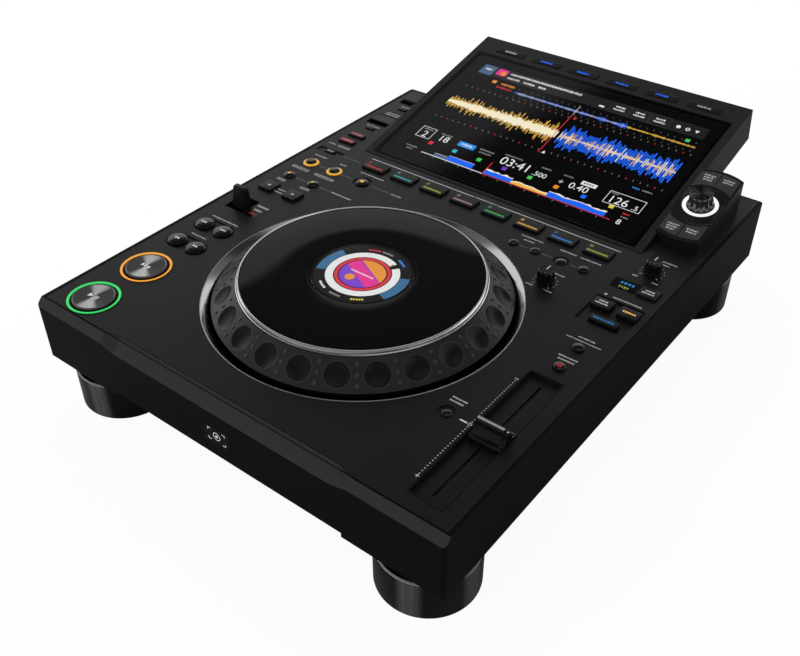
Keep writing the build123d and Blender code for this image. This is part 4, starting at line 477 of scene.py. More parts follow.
def spun_metal_painted_highlight(name, colour, light, roughness, centre, streaks=2.0, start=0.0, metallic=1.0, anisotropic=0.7):
    """A spun or polished cap whose gloss fans out from its middle, with a painted highlight in lobes round that middle.
    """
    material, tree, shader = new_material(name)
    # light is the colour of the painted highlight lobes
    use_group(tree, shader, "streak",
              {"Centre": on_deck(centre) / MM, "Colour": rgba(colour), "Light colour": rgba(light),
               "Roughness": roughness, "Streaks": streaks, "Start": start},
              {"Colour": "Base Color", "Roughness": "Roughness"})
    shader.inputs["Metallic"].default_value = metallic
    shader.inputs["Anisotropic"].default_value = anisotropic
    tangent = add_node(tree, "ShaderNodeTangent", direction_type="RADIAL", axis="Z")
    tree.links.new(tangent.outputs[0], shader.inputs["Tangent"])
    return material


def lit(name, colour, strength=1.0, dots=3.0, depth=0.15):
    """A lit legend, ring or display colour."""
    material, tree, shader = new_material(name)
    use_group(tree, shader, "raster", {"Colour": rgba(colour), "Dots per mm": dots, "Depth": depth},
              {"Colour": "Emission Color"})
    shader.inputs["Base Color"].default_value = rgba([part * 0.2 for part in colour])
    shader.inputs["Emission Strength"].default_value = strength
    shader.inputs["Roughness"].default_value = 0.3
    shader.inputs["Specular IOR Level"].default_value = 0.2
    return material


def ink(name, colour):
    """Printed ink on the deck, a little uneven."""
    return moulded(name, colour, 0.55, specular=0.25, bump=0.05, scale=6.0, edge=0.00002, edge_highlight_gain=1.0)


def clear_glass(name):
    """Clear glass or acrylic whose tint drifts a little."""
    material, tree, shader = new_material(name)
    drift = noise_value(tree, object_place(tree), 0.02, 1.0)
    tree.links.new(mixed_colour(tree, drift, (0.965, 0.975, 0.975, 1), (0.975, 0.985, 0.985, 1)),
                   shader.inputs["Base Color"])
    shader.inputs["Roughness"].default_value = 0.0
    shader.inputs["Transmission Weight"].default_value = 1.0
    shader.inputs["IOR"].default_value = 1.45
    return material


MATERIALS = {}


def finish(name):
    """A named finish of the player, made the first time that a piece asks for it."""
    if name not in MATERIALS:
        maker, *settings = FINISHES[name]
        MATERIALS[name] = maker(*settings)
    return MATERIALS[name]


def deck_plastic():
    """The deck's plastic, in the colour that the panel has."""
    return moulded("deck plastic", tuple(bpy.context.scene.player_finish.deck_colour), 0.42, 0.2, 0.10, 2.2)


def ring_light(name, strength):
    """The glow of a lit ring, in the colour that the panel has."""
    return lit(name + " light", getattr(bpy.context.scene.player_lights, name), strength, 1.0, 0.05)


JOG_CENTRE = tuple(node_middle("jog_rim")[0])


def grey(tone):
    """A neutral colour."""
    return tone, tone, tone


# Each finish: its maker and what the maker is given, with the material's name first
# moulded finishes paint a highlight on their rounded edges, stronger with a larger edge gain
FINISHES = {
    "deck": (deck_plastic,),
    # the case: a strong painted highlight on its edges and a painted sheen on its front chamfer
    "case": (moulded, "case plastic", (0.0034, 0.0034, 0.0036), 0.42, 0.05, 0.12, 2.0, 0.0005, 7.0, 1.0),
    "housing": (moulded, "screen housing plastic", (0.010, 0.010, 0.0105), 0.38, 0.24, 0.08, 2.4),
    "pod": (moulded, "pod plastic", grey(0.006), 0.28, 0.35, 0.05, 2.0),
    "pod key": (moulded, "pod key plastic", (0.03, 0.03, 0.032), 0.42, 0.35, 0.08, 3.0),
    "pod dish": (turned_metal, "pod dish gloss", grey(0.01), 0.12, grey(0), 0.5, 0.02, 0.0),
    "key": (moulded, "key plastic", (0.0055, 0.0055, 0.006), 0.36, 0.2, 0.08, 3.0, 0.0003, 5.0),
    # painted shade on the sides of keys and in the dark wells round the lit rings, and dark print in the pills
    "key side": (moulded, "key side plastic", grey(0.004), 0.4, 0.2, 0.05, 3.0),
    "pad": (moulded, "pad rubber", (0.010, 0.010, 0.0105), 0.5, 0.2, 0.15, 3.5, 0.0003, 4.0),
    "knob": (moulded, "knob plastic", grey(0.003), 0.12, 0.6, 0.03, 2.0),
    "lever": (moulded, "lever plastic", grey(0.004), 0.36, 0.2, 0.05, 2.0, 0.0004, 6.0),
    "fader": (moulded, "fader cap plastic", grey(0.003), 0.2, 0.5, 0.04, 2.0),
    "black gloss": (moulded, "black gloss plastic", grey(0.002), 0.12, 0.12, 0.02, 1.0),
    "foot pad": (moulded, "foot pad rubber", grey(0.012), 0.75, 0.2, 0.3, 1.2),
    # dark seams and lines round the fader's tray, and painted shade on the feet's necks
    "seam": (moulded, "seam black", grey(0.0006), 0.6, 0.02, 0.02, 1.0),
    # a painted highlight on the feet's rims
    "foot rim": (moulded, "foot rim gloss", (0.16, 0.16, 0.165), 0.2, 0.8, 0.02, 1.0),
    # painted shade inside the dimples and round the pips, and a painted highlight on the dimples' lips and the pips'
    # tops
    "dimple": (moulded, "dimple plastic", (0.006, 0.006, 0.0062), 0.36, 0.2, 0.04, 3.0, 0.0003, 2.0),
    "wheel lip": (moulded, "dimple lip plastic", (0.035, 0.035, 0.036), 0.3, 0.4, 0.04, 3.0),
    "wheel": (moulded, "wheel plastic", (0.018, 0.018, 0.0185), 0.3, 0.32, 0.06, 2.6, 0.0004, 6.0),
    "platter": (turned_metal, "platter lacquer", grey(0.0022), 0.012, JOG_CENTRE, 0.9, 0.016, 0.0, 0.1,
                0.12),
    "rim": (turned_metal, "rim chrome", (0.86, 0.87, 0.88), 0.13, JOG_CENTRE, 3.0, 0.08, 1.0, 0.5, 0.2),
    "bezel": (turned_metal, "bezel metal", (0.55, 0.55, 0.56), 0.16, JOG_CENTRE, 1.5, 0.08, 1.0, 0.5, 0.12),
    "window": (clear_glass, "dial window acrylic"),
    "glass": (clear_glass, "touch glass"),
    "black mask": (moulded, "glass border black", grey(0.0015), 0.5, 0.02, 0.0, 1.0),
    "panel black": (moulded, "display black", (0.0015, 0.0015, 0.0016), 0.5, 0.02, 0.0, 1.0),
    "bright ink": (ink, "bright ink", grey(0.6)),
    "white ink": (ink, "white ink", grey(0.42)),
    "grey ink": (ink, "grey ink", grey(0.13)),
    "pill ink": (ink, "pill ink", grey(0.25)),
    "screw": (turned_metal, "screw steel", grey(0.1), 0.35, grey(0), 2.0, 0.1),
    "steel": (moulded, "plated steel", grey(0.35), 0.35, 0.5, 0.1, 1.0),
    "board": (moulded, "board lacquer", (0.01, 0.06, 0.03), 0.35, 0.5, 0.2, 1.5),
    "bearing": (turned_metal, "bearing steel", grey(0.5), 0.25, JOG_CENTRE, 2.0, 0.1),
    "socket": (moulded, "socket plastic", grey(0.01), 0.35, 0.4, 0.08, 2.0),
    "socket metal": (moulded, "socket plating", (0.55, 0.53, 0.48), 0.3, 0.6, 0.05, 2.0),
    "phono red": (moulded, "phono insert red", (0.35, 0.01, 0.01), 0.4, 0.4, 0.05, 2.0),
    "phono white": (moulded, "phono insert white", (0.6, 0.6, 0.58), 0.4, 0.4, 0.05, 2.0),
    "phono orange": (moulded, "phono insert orange", (0.55, 0.2, 0.02), 0.4, 0.4, 0.05, 2.0),
    "selector": (moulded, "selector chrome", (0.02, 0.02, 0.021), 0.08, 1.0, 0.02, 1.0, 0.0002),
    "play light": (ring_light, "play", 0.95),
    "cue light": (ring_light, "cue", 0.95),
    "loop light": (ring_light, "loop", 0.8),
    "red light": (lit, "red light", (0.28, 0.012, 0.022), 0.8, 2.0, 0.1),
    "dim red": (lit, "dim red light", (0.16, 0.01, 0.016), 0.8, 2.0, 0.1),
    "dome": (moulded, "polished black dome", grey(0.0015), 0.05, 0.55, 0.01, 1.0, 0.0003),
    "polished": (moulded, "polished edge", grey(0.05), 0.15, 0.5, 0.02, 1.0),
}

# Colours of lit legends and of the pictures on the displays
LIT_COLOURS = {
    "lit white": grey(0.85), "lit grey": grey(0.28), "lit dark": (0.012, 0.012, 0.013),
    "lit dim": (0.05, 0.05, 0.052), "lit red": (0.75, 0.03, 0.05), "lit cyan": (0.05, 0.5, 0.6),
    "lit lime": (0.4, 0.55, 0.05), "lit green": (0.06, 0.6, 0.12), "lit pink": (0.55, 0.3, 0.38),
    "lit orange": (0.85, 0.3, 0.03), "lit blue": (0.012, 0.15, 1.0), "lit sky": (0.03, 0.3, 0.85),
    "lit gold": (0.95, 0.55, 0.09), "lit cream": (1.0, 0.9, 0.66), "lit yellow": (0.75, 0.65, 0.06),
    "lit purple": (0.2, 0.05, 0.6), "lit magenta": (0.8, 0.03, 0.3), "lit steel": (0.035, 0.15, 0.3),
    "lit slate": (0.07, 0.13, 0.25),
}
for lit_name, lit_colour in LIT_COLOURS.items():
    FINISHES[lit_name] = (lit, lit_name, lit_colour)
    FINISHES["soft " + lit_name] = (lit, "soft " + lit_name, lit_colour, 0.45)


def dress(node, finish_name):
    """Give a CAD node a finish."""
    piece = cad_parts[node]
    piece.data.materials.clear()
    piece.data.materials.append(finish(finish_name))


# ---- Stage ----------------------------------------------------------------------------------------------

CAMERA_PLACE = (0.3379, -0.49129, 0.4588)
CAMERA_AZIMUTH = math.radians(38.07)
CAMERA_ELEVATION = math.radians(38.18)
CAMERA_ROLL = math.radians(-0.36)
CAMERA_LENS = 43.893
CAMERA_SENSOR = 36.0


def make_camera():
    """The camera, level but for a slight roll."""
    data = bpy.data.cameras.new("camera")
    data.lens = CAMERA_LENS
    data.sensor_width = CAMERA_SENSOR
    data.clip_start = 0.01
    camera = bpy.data.objects.new("camera", data)
    bpy.context.scene.collection.objects.link(camera)
    down = -math.cos(CAMERA_ELEVATION)
    ahead = Vector((math.sin(CAMERA_AZIMUTH) * down, -math.cos(CAMERA_AZIMUTH) * down, -math.sin(CAMERA_ELEVATION)))
    turn = ahead.to_track_quat("-Z", "Y").to_matrix().to_4x4()
    camera.matrix_world = Matrix.Translation(CAMERA_PLACE) @ turn @ Matrix.Rotation(CAMERA_ROLL, 4, "Z")
    bpy.context.scene.camera = camera


def band(tree, height, low, high):
    """1 below a height on the sky, 0 above another, and smooth between."""
    return map_range(tree, height, 1.0, 0.0, (low, high), interpolation_type="SMOOTHSTEP")


def sky_band(tree, height, degrees):
    """A band whose two heights are given as elevations in degrees."""
    low, high = (math.sin(math.radians(part)) for part in degrees)
    return band(tree, height, low, high)


# Elevations where the studio's tones change for gloss, and the tones
HORIZON, MIDDLE, UPPER = (31.6, 33.4), (45.5, 47.5), (62, 68)
SKY_LEAN = (0.117, 0.094, 1.0)
TONES = {"upper": (0.45, 0.45, 0.45, 1), "top": (0.03, 0.03, 0.03, 1), "middle": (0.16, 0.16, 0.163, 1),
         "front": (0.22, 0.22, 0.22, 1)}
WHITE = (1, 1, 1, 1)


def make_world():
    """A plain studio: white to the camera, and to gloss a white horizon under a dim ceiling."""
    world = bpy.data.worlds.new("studio")
    bpy.context.scene.world = world
    world.use_nodes = True
    tree = world.node_tree
    background = tree.nodes["Background"]
    direction = add_node(tree, "ShaderNodeTexCoord").outputs["Generated"]
    parts = add_node(tree, "ShaderNodeSeparateXYZ", {0: direction}).outputs
    height = vector_math(tree, "DOT_PRODUCT", direction, SKY_LEAN)["Value"]
    above = mixed_colour(tree, sky_band(tree, height, UPPER), TONES["upper"], TONES["top"])
    ceiling = mixed_colour(tree, sky_band(tree, height, MIDDLE), above, TONES["middle"])
    low = mixed_colour(tree, band(tree, parts[1], -0.45, -0.05), WHITE, TONES["front"])
    seen = mixed_colour(tree, sky_band(tree, height, HORIZON), ceiling, low)
    path = add_node(tree, "ShaderNodeLightPath").outputs
    shown = mixed_colour(tree, path["Is Camera Ray"], seen, WHITE)
    clear = math_node(tree, "MAXIMUM", path["Is Camera Ray"],
                      math_node(tree, "MAXIMUM", path["Is Glossy Ray"], path["Is Transmission Ray"]))
    light = bpy.context.scene.player_finish.room_light
    tree.links.new(mixed_colour(tree, clear, (light, light, light, 1), shown), background.inputs["Color"])
    background.inputs["Strength"].default_value = 1.0


def make_lamp(name, place, target, size, power):
    """A soft rectangular lamp that looks at a target and leaves no highlight."""
    data = bpy.data.lights.new(name, "AREA")
    data.shape = "RECTANGLE"
    data.size, data.size_y = size
    data.energy = power
    lamp = bpy.data.objects.new(name, data)
    bpy.context.scene.collection.objects.link(lamp)
    look = Vector(target) - Vector(place)
    lamp.matrix_world = Matrix.Translation(place) @ look.to_track_quat("-Z", "Y").to_matrix().to_4x4()
    lamp.visible_glossy = False
    lamp.visible_transmission = False


def make_floor():
    """A white floor that keeps a light shadow of the player."""
    half = 3.0
    corners = [(-half, -half, 0), (half, -half, 0), (half, half, 0), (-half, half, 0)]
    mesh = bpy.data.meshes.new("floor")
    mesh.from_pydata(corners, [], [(0, 1, 2, 3)])
    floor = bpy.data.objects.new("floor", mesh)
    bpy.context.scene.collection.objects.link(floor)
    material, tree, shader = new_material("floor white")
    cloud = noise_value(tree, object_place(tree), 0.004, 2.0)
    tone = map_range(tree, cloud, 0.93, 0.96)
    path = add_node(tree, "ShaderNodeLightPath").outputs
    colour = mixed_colour(tree, path["Is Glossy Ray"], tone, (0.26, 0.26, 0.26, 1))
    tree.links.new(colour, shader.inputs["Base Color"])
    shader.inputs["Roughness"].default_value = 0.9
    shader.inputs["Specular IOR Level"].default_value = 0.0
    white = add_node(tree, "ShaderNodeEmission", {"Color": WHITE, "Strength": 1.0})
    share = math_node(tree, "MULTIPLY", path["Is Camera Ray"], 0.94)
    mix = add_node(tree, "ShaderNodeMixShader", {0: share, 1: shader.outputs[0], 2: white.outputs[0]})
    tree.links.new(mix.outputs[0], tree.nodes["Material Output"].inputs["Surface"])
    mesh.materials.append(material)


def build_stage():
    """Camera, floor, studio and lamps."""
    scene = bpy.context.scene
    scene.view_settings.view_transform = "Standard"
    make_camera()
    make_world()
    make_floor()
    make_lamp("key lamp", (-0.55, 0.75, 1.1), (0.0, 0.0, 0.08), (0.5, 0.35), 8.0)
    make_lamp("front lamp", (-0.95, -1.35, 0.5), (-0.1, -0.2, 0.05), (0.7, 0.5), 14.0)


# ---- Case and feet ----------------------------------------------------------------------------------------

FOOT_SEGMENTS = 96
FOOT_NECK = 6.8


def build_case():
    """The tub, deck, screws and everything under the deck keep their solids and get their finishes."""
    finishes = {"lower_case": "case", "deck_panel": "deck", "case_screws": "screw", "circuit_boards": "board",
                "power_supply": "steel", "fader_track": "steel", "jog_bearing": "bearing",
                "screen_housing": "housing", "selector_pod": "pod", "usb_lid": "housing", "sockets": "socket"}
    for node, finish_name in finishes.items():
        dress(node, finish_name)


def build_badge():
    """The gloss mark in the middle of the front, with a plain target sign and four corner strokes."""
    shape = Shape(lambda point: on_deck((point[0], -point[2], point[1])))
    x, z = 165.0, -25.5
    lean = 1.6
    sign = 0.2  # the sign's height over the front face
    shape.polygon_mark([(x - 11.0 + lean, z + 6.8), (x + 9.0 + lean, z + 6.8), (x + 11.0 - lean, z - 6.8),
                        (x - 9.0 - lean, z - 6.8)][::-1], 0.05, 0, 0.12)
    for side_x in (-1, 1):
        for side_z in (-1, 1):
            cx, cz = x + side_x * 7.0, z + side_z * 4.4
            shape.mark(min(cx, cx - side_x * 2.2), max(cx, cx - side_x * 2.2), cz - 0.25, cz + 0.25, sign, 1)
            shape.mark(cx - 0.25, cx + 0.25, min(cz, cz - side_z * 1.6), max(cz, cz - side_z * 1.6), sign, 1)
    shape.polygon_mark(sector(x, z, 2.5, 3.0, 0.0, math.tau * 0.999, 33), sign, 1)
    shape.polygon_mark(circle(x, z, 1.1, 20), sign, 1)
    shape.done("front_badge", PLAYER, ["black gloss", "bright ink"])


def build_feet():
    """Four glossy feet, each with a neck in painted shade, a rim in a painted highlight, painted highlight lobes on its
    gloss and a rubber pad.
    """
    middle, size = node_middle("feet")
    radius, neck, pad_radius = 31.7, 26.4, 27.9
    top = middle.z + size.z / 2
    bottom = middle.z - size.z / 2
    side = size.x / 2 - radius
    depth = size.y / 2 - radius
    shoulder = top - FOOT_NECK
    rim_foot = shoulder - 1.6
    shape = Shape()
    finishes = ["seam", "foot pad", "foot rim"]
    for x in (middle.x - side, middle.x + side):
        for y in (middle.y - depth, middle.y + depth):
            # each foot's gloss gets painted highlight lobes round it
            gloss = spun_metal_painted_highlight("foot gloss %d" % (len(finishes) - 2), grey(0.005), grey(0.11), 0.24,
                               (x, y, 0), 5.0, math.radians(20), 0.55, 0.0)
            finishes.append(gloss)
            # the neck is painted in shade
            collar = [(0, top), (neck, top), (neck, shoulder + 0.06), (radius - 1.2, shoulder + 0.06),
                      (radius - 1.2, rim_foot)]
            shape.turned(x, y, collar, 0, FOOT_SEGMENTS)
            # the rim is a painted highlight
            rim = [(radius - 1.3, shoulder), (radius - 0.9, shoulder), (radius - 0.25, shoulder - 0.4),
                   (radius - 0.25, shoulder - 1.3), (radius - 0.8, rim_foot), (radius - 1.3, rim_foot)]
            shape.turned(x, y, softened(rim, 0.3, 3), 2, FOOT_SEGMENTS)
            skirt = [(20.0, shoulder - 1.5), (radius - 0.7, shoulder - 1.5), (radius, shoulder - 2.3),
                     (radius, bottom + 0.3), (radius - 1.6, bottom + 0.1), (radius - 3.4, bottom + 0.1),
                     (radius - 3.4, bottom + 1.4), (20.0, bottom + 1.4)]
            shape.turned(x, y, softened(skirt, 1.6, 4), len(finishes) - 1, FOOT_SEGMENTS)
            pad = [(0, bottom + 2.0), (pad_radius, bottom + 2.0), (pad_radius, bottom + 0.5), (27.2, bottom),
                   (24.0, bottom), (23.4, bottom + 0.6), (19.0, bottom + 0.6), (18.4, bottom), (0, bottom)]
            shape.turned(x, y, softened(pad, 0.3, 3), 1, FOOT_SEGMENTS)
    shape.done("turned_feet", PLAYER, finishes, ["feet"], "foot_plastic")


# ---- Jog wheel --------------------------------------------------------------------------------------------

JOG_X, JOG_Y, _ = JOG_CENTRE
WHEEL_RADIUS = node_middle("jog_wheel")[1].x / 2
RIM_FOOT = node_middle("jog_rim")[1].x / 2
BEZEL_RADIUS = 106.2
SHOULDER_Z, PLATTER_TOP = ((Vector(corner) - ORIGIN).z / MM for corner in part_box("jog_platter"))
RIM_TOP = (Vector(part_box("jog_rim")[1]) - ORIGIN).z / MM
SLOPE_RUN = WHEEL_RADIUS - RIM_FOOT - 0.3
SLOPE_BOTTOM_Z = -0.4
WINDOW_RADIUS = node_middle("jog_window")[1].x / 2


def slope_point(angle, along, lift):
    """A point on the wheel's slope: along it from its middle outwards, and lifted off it."""
    rise = SHOULDER_Z - SLOPE_BOTTOM_Z
    length = math.hypot(SLOPE_RUN, rise)
    out, up = rise / length, SLOPE_RUN / length
    radius = WHEEL_RADIUS - SLOPE_RUN / 2 + along * up + lift * out
    z = (SHOULDER_Z + SLOPE_BOTTOM_Z) / 2 - along * out + lift * up
    return (JOG_X + radius * math.cos(angle), JOG_Y + radius * math.sin(angle), z)


def dimple_rings(radius, depth, half_width, half_height):
    """The rings of one dimple and the land round it, as (across, along, lift) in millimetres."""
    count = 48
    ball = (radius ** 2 + depth ** 2) / (2 * depth)
    levels = []
    for share in (0.04, 0.25, 0.45, 0.65, 0.8, 0.9, 0.965):
        r = radius * share
        levels.append((r, -(math.sqrt(ball ** 2 - r ** 2) - (ball - depth))))
    levels += [(radius - 0.02, -0.10), (radius + 0.1, -0.02), (radius + 0.3, 0.0)]
    rows = [[(r * math.cos(a), r * math.sin(a), lift) for a in turn_steps(count)] for r, lift in levels]
    edge = []
    for i, angle in enumerate(turn_steps(count)):
        across, along = math.cos(angle), math.sin(angle)
        if i % (count // 4) == count // 8:
            edge.append((math.copysign(half_width, across), math.copysign(half_height, along), 0.0))
            continue
        reach = min(half_width / max(abs(across), 1e-6), half_height / max(abs(along), 1e-6))
        edge.append((reach * across, reach * along, 0.0))
    last = rows[-1]
    for share in (0.4, 1.0):
        rows.append([tuple(a + (b - a) * share for a, b in zip(near, far)) for near, far in zip(last, edge)])
    return rows


def build_wheel():
    """The dimpled wheel: a sloped skirt with finger dimples, pips between them and a rolled edge."""
    sizes = bpy.context.scene.player_jog
    shape = Shape()
    count = sizes.dimple_count
    mid_radius = (WHEEL_RADIUS + RIM_FOOT + 0.3) / 2
    step = math.tau / count
    half_height = math.hypot(SLOPE_RUN, SHOULDER_Z - SLOPE_BOTTOM_Z) / 2
    rows = dimple_rings(sizes.dimple_radius, sizes.dimple_depth, step * mid_radius / 2, half_height)
    for i in range(count):
        turned = [[slope_point(i * step + across / mid_radius, along, lift) for across, along, lift in row]
                  for row in rows]
        # the dimple's hollow is painted in shade, and its lip is a painted highlight
        shape.rings(turned[:8], 2, True, False)
        shape.rings(turned[7:10], 3, False, False)
        shape.rings(turned[9:], 0, False, False)
        for along in (-6.6, 0.0, 6.6):
            add_pip(shape, (i + 0.5) * step, along, sizes.pip_radius)
    floor, skirt, hub, bore = 5.9, -3.4, 12.0, 6.05
    edge = [(RIM_FOOT + 0.3, SHOULDER_Z), (RIM_FOOT - 9.0, SHOULDER_Z), (RIM_FOOT - 9.0, 8.5), (hub, 8.5),
            (hub, floor), (RIM_FOOT - 4.0, floor), (WHEEL_RADIUS - 4.0, skirt), (WHEEL_RADIUS - 0.5, skirt),
            (WHEEL_RADIUS, skirt + 0.5), (WHEEL_RADIUS, SLOPE_BOTTOM_Z)]
    shape.rings([lifted(circle(JOG_X, JOG_Y, radius, count * 12), z) for radius, z in edge], 1, False, False)
    shape.turned(JOG_X, JOG_Y, [(bore, 5.95), (hub, 5.95), (hub, -12.0), (bore, -12.0)], 1, 48, True)
    shape.done("dimpled_wheel", "jog", ["wheel", "case", "dimple", "wheel lip"], ["jog_wheel"], "wheel_plastic", 50)


def add_pip(shape, angle, along, radius):
    """A small round pip on the slope, with a shallow moat in painted shade and a top in a painted highlight."""
    rows = []
    for r, lift in ((radius + 0.3, -0.03), (radius + 0.05, -0.01), (radius, 0.42), (radius * 0.8, 0.6),
                    (radius * 0.35, 0.62)):
        rows.append([slope_point(angle + r * math.cos(turn) / WHEEL_RADIUS, along + r * math.sin(turn), lift)
                     for turn in turn_steps(14)])
    shape.rings(rows[:3], 2, True, False)
    shape.rings(rows[2:], 3, False, True)


def build_rim():
    """The bright double ring on the wheel's shoulder."""
    inner = node_middle("jog_platter")[1].x / 2 + 0.2
    profile = [(inner, SHOULDER_Z), (RIM_FOOT, SHOULDER_Z), (RIM_FOOT, SHOULDER_Z + 0.9),
               (RIM_FOOT - 0.5, SHOULDER_Z + 1.25), (RIM_FOOT - 0.62, SHOULDER_Z + 1.35),
               (RIM_FOOT - 0.45, SHOULDER_Z + 1.5), (RIM_FOOT - 0.75, SHOULDER_Z + 2.6), (inner + 0.9, RIM_TOP),
               (inner + 0.25, RIM_TOP), (inner, PLATTER_TOP)]
    shape = Shape()
    shape.turned(JOG_X, JOG_Y, softened(profile, 0.35, 4), 0, 256, True)
    shape.done("rim_ring", "jog", ["rim"], ["jog_rim"], "rim_metal", 40)


def build_bezel():
    """The dished ring round the wheel, with a fine bright lip."""
    flange = node_middle("jog_bezel")[1].x / 2
    profile = [(BEZEL_RADIUS - 0.05, -3.0), (BEZEL_RADIUS - 0.05, 0.1), (BEZEL_RADIUS - 0.25, 0.25),
               (BEZEL_RADIUS - 0.7, 0.22), (BEZEL_RADIUS - 1.0, 0.0), (103.6, -1.2), (101.4, -2.9), (100.4, -4.2),
               (100.4, -5.5), (flange, -5.5), (flange, -3.0)]
    shape = Shape()
    shape.turned(JOG_X, JOG_Y, softened(profile, 0.3, 3), 0, 256, True)
    shape.done("wheel_bezel", PLAYER, ["bezel"], ["jog_bezel"], "bezel_metal", 40)


def build_platter():
    """The lacquered platter with a fine step round its window."""
    outer = node_middle("jog_platter")[1].x / 2
    low, top = SHOULDER_Z, PLATTER_TOP
    profile = [(WINDOW_RADIUS - 1.6, low), (outer, low), (outer, top - 0.25), (outer - 0.25, top),
               (WINDOW_RADIUS + 2.4, top), (WINDOW_RADIUS + 2.2, top - 0.12), (WINDOW_RADIUS + 0.35, top - 0.12),
               (WINDOW_RADIUS + 0.2, top - 0.3), (WINDOW_RADIUS + 0.2, top - 1.5), (WINDOW_RADIUS - 1.6, top - 1.5)]
    shape = Shape()
    shape.turned(JOG_X, JOG_Y, softened(profile, 0.12, 3), 0, 256, True)
    shape.done("grooved_platter", "jog", ["platter"], ["jog_platter"], "platter_plastic", 40)
    window = Shape()
    edge = [(0, top - 1.5), (WINDOW_RADIUS, top - 1.5), (WINDOW_RADIUS, top - 0.2), (WINDOW_RADIUS - 0.2, top),
            (0, top)]
    window.turned(JOG_X, JOG_Y, edge, 0, 128)
    window.done("dial_window", "jog", ["window"], ["jog_window"], "window_clear", 40)


def build_dial():
    """The round display: a ring with a notch, a red ring, coloured bands and small marks at its edge."""
    middle, size = node_middle("jog_display")
    radius = size.x / 2
    top = middle.z + size.z / 2
    shape = Shape()
    face = top - 0.15
    body = [(0, top - size.z), (radius, top - size.z), (radius, face - 0.2), (radius - 0.2, face), (0, face)]
    shape.turned(JOG_X, JOG_Y, body, 0, 96)
    names = ["panel black", "lit white", "lit red", "lit steel", "lit magenta", "lit orange", "lit purple",
             "lit sky", "lit yellow", "lit grey"]
    slots = {name: i for i, name in enumerate(names)}
    level = face + 0.03
    notch = math.radians(57)
    shape.polygon_mark(sector(JOG_X, JOG_Y, 19.2, 24.4, notch + 0.10, math.tau - 0.20, 72), level, slots["lit white"])
    shape.polygon_mark(circle(JOG_X + 21.6 * math.cos(notch + 0.13), JOG_Y + 21.6 * math.sin(notch + 0.13), 0.8, 16),
                       level + 0.05, slots["lit orange"])
    shape.polygon_mark(sector(JOG_X, JOG_Y, 16.2, 18.4, 0.0, math.tau * 0.9995, 73), level, slots["lit red"])
    for start in (-0.44, math.pi - 0.44):
        shape.polygon_mark(sector(JOG_X, JOG_Y, 24.9, radius - 0.2, start, 0.88, 20), level, slots["lit steel"])
    build_dial_picture(shape, level, slots)
    marks = ((112, "lit red"), (92, "lit grey"), (62, "lit sky"), (242, "lit white"), (270, "lit grey"),
             (302, "lit yellow"))
    for degrees, colour in marks:
        for i in range(-2, 3):
            angle = math.radians(degrees + i * 3.6)
            outline = sector(JOG_X, JOG_Y, 27.2, 28.8, angle - 0.022, 0.044, 3)
            shape.polygon_mark(outline, level, slots[colour])
    shape.done("dial_face", PLAYER, names, ["jog_display"], "display", 40)


def build_dial_picture(shape, level, slots):
    """A plain design of bands inside the red ring."""
    inner = 15.4
    shape.polygon_mark(circle(JOG_X, JOG_Y, inner, 64), level, slots["lit purple"])
    bands = ((-4.5, 5.2, "lit magenta"), (6.0, 15.2, "lit orange"))
    turn = math.radians(-28)
    for low, high, colour in bands:
        edge = []
        for side in (1, -1):
            steps = [low + (high - low) * i / 10 for i in range(11)]
            if side < 0:
                steps = steps[::-1]
            edge += [(side * math.sqrt(max(inner ** 2 - v ** 2, 0.01)), v) for v in steps]
        shape.polygon_mark(turned_in_place(edge, JOG_X, JOG_Y, turn), level + 0.04, slots[colour])
    shape.polygon_mark(circle(JOG_X - 4.5, JOG_Y - 7.5, 3.4, 32), level + 0.08, slots["lit orange"])
    shape.words(JOG_X - 9.0, JOG_X + 9.0, JOG_Y - 0.4, level + 0.09, slots["lit white"], 1.5)


# ---- Keys ---------------------------------------------------------------------------------------------------

KEY_SEAT = -3.0
KEY_UNDER = -4.5
KEY_BOTTOM = -6.5
STEM = 1.6


def round_cap(shape, x, y, radius, top, slot=0, dome=0.5, edge=0.5):
    """A round key: a domed cap, its flange under the deck and its stem."""
    profile = [(radius, KEY_SEAT), (radius, top - dome - edge), (radius - edge, top - dome)]
    profile += [((radius - edge) * share, top - dome * share ** 2) for share in (0.8, 0.55, 0.3, 0.02)]
    low = [(AXIS, KEY_BOTTOM), (STEM, KEY_BOTTOM), (STEM, KEY_UNDER), (radius + 1.0, KEY_UNDER),
           (radius + 1.0, KEY_SEAT)]
    shape.turned(x, y, low + softened(profile, edge * 0.6, 3), slot, 48)


def bar_cap(shape, x, y, width, depth, top, slot=0, side_slot=1, corner=0.5, edge=0.35):
    """A rectangular key: a cap with a soft edge, sides in painted shade, its flange and its stem."""
    shape.slab(x, y, width, depth, corner, [(-1.0, KEY_UNDER), (-1.0, KEY_SEAT)], side_slot)
    shape.slab(x, y, width, depth, corner, [(0, KEY_SEAT), (0, top - edge)], side_slot)
    crown = [(0.0, top - edge)] + [(edge * (1 - math.cos(a)), top - edge + edge * math.sin(a))
                                   for a in (0.4, 0.8, 1.2, math.pi / 2)]
    shape.slab(x, y, width, depth, corner, crown, slot)
    shape.turned(x, y, [(STEM, KEY_UNDER), (STEM, KEY_BOTTOM)], side_slot, 16)


def turned_in_place(points, x, y, turn):
    """Points about the origin, turned by an angle and moved to a place."""
    return [(x + u * math.cos(turn) - v * math.sin(turn), y + u * math.sin(turn) + v * math.cos(turn))
            for u, v in points]


def triangle(x, y, size, turn=0.0):
    """A triangle that points along +x, turned by an angle."""
    corners = [(size * 0.6, 0.0), (-size * 0.4, size * 0.5), (-size * 0.4, -size * 0.5)]
    return turned_in_place(corners, x, y, turn)


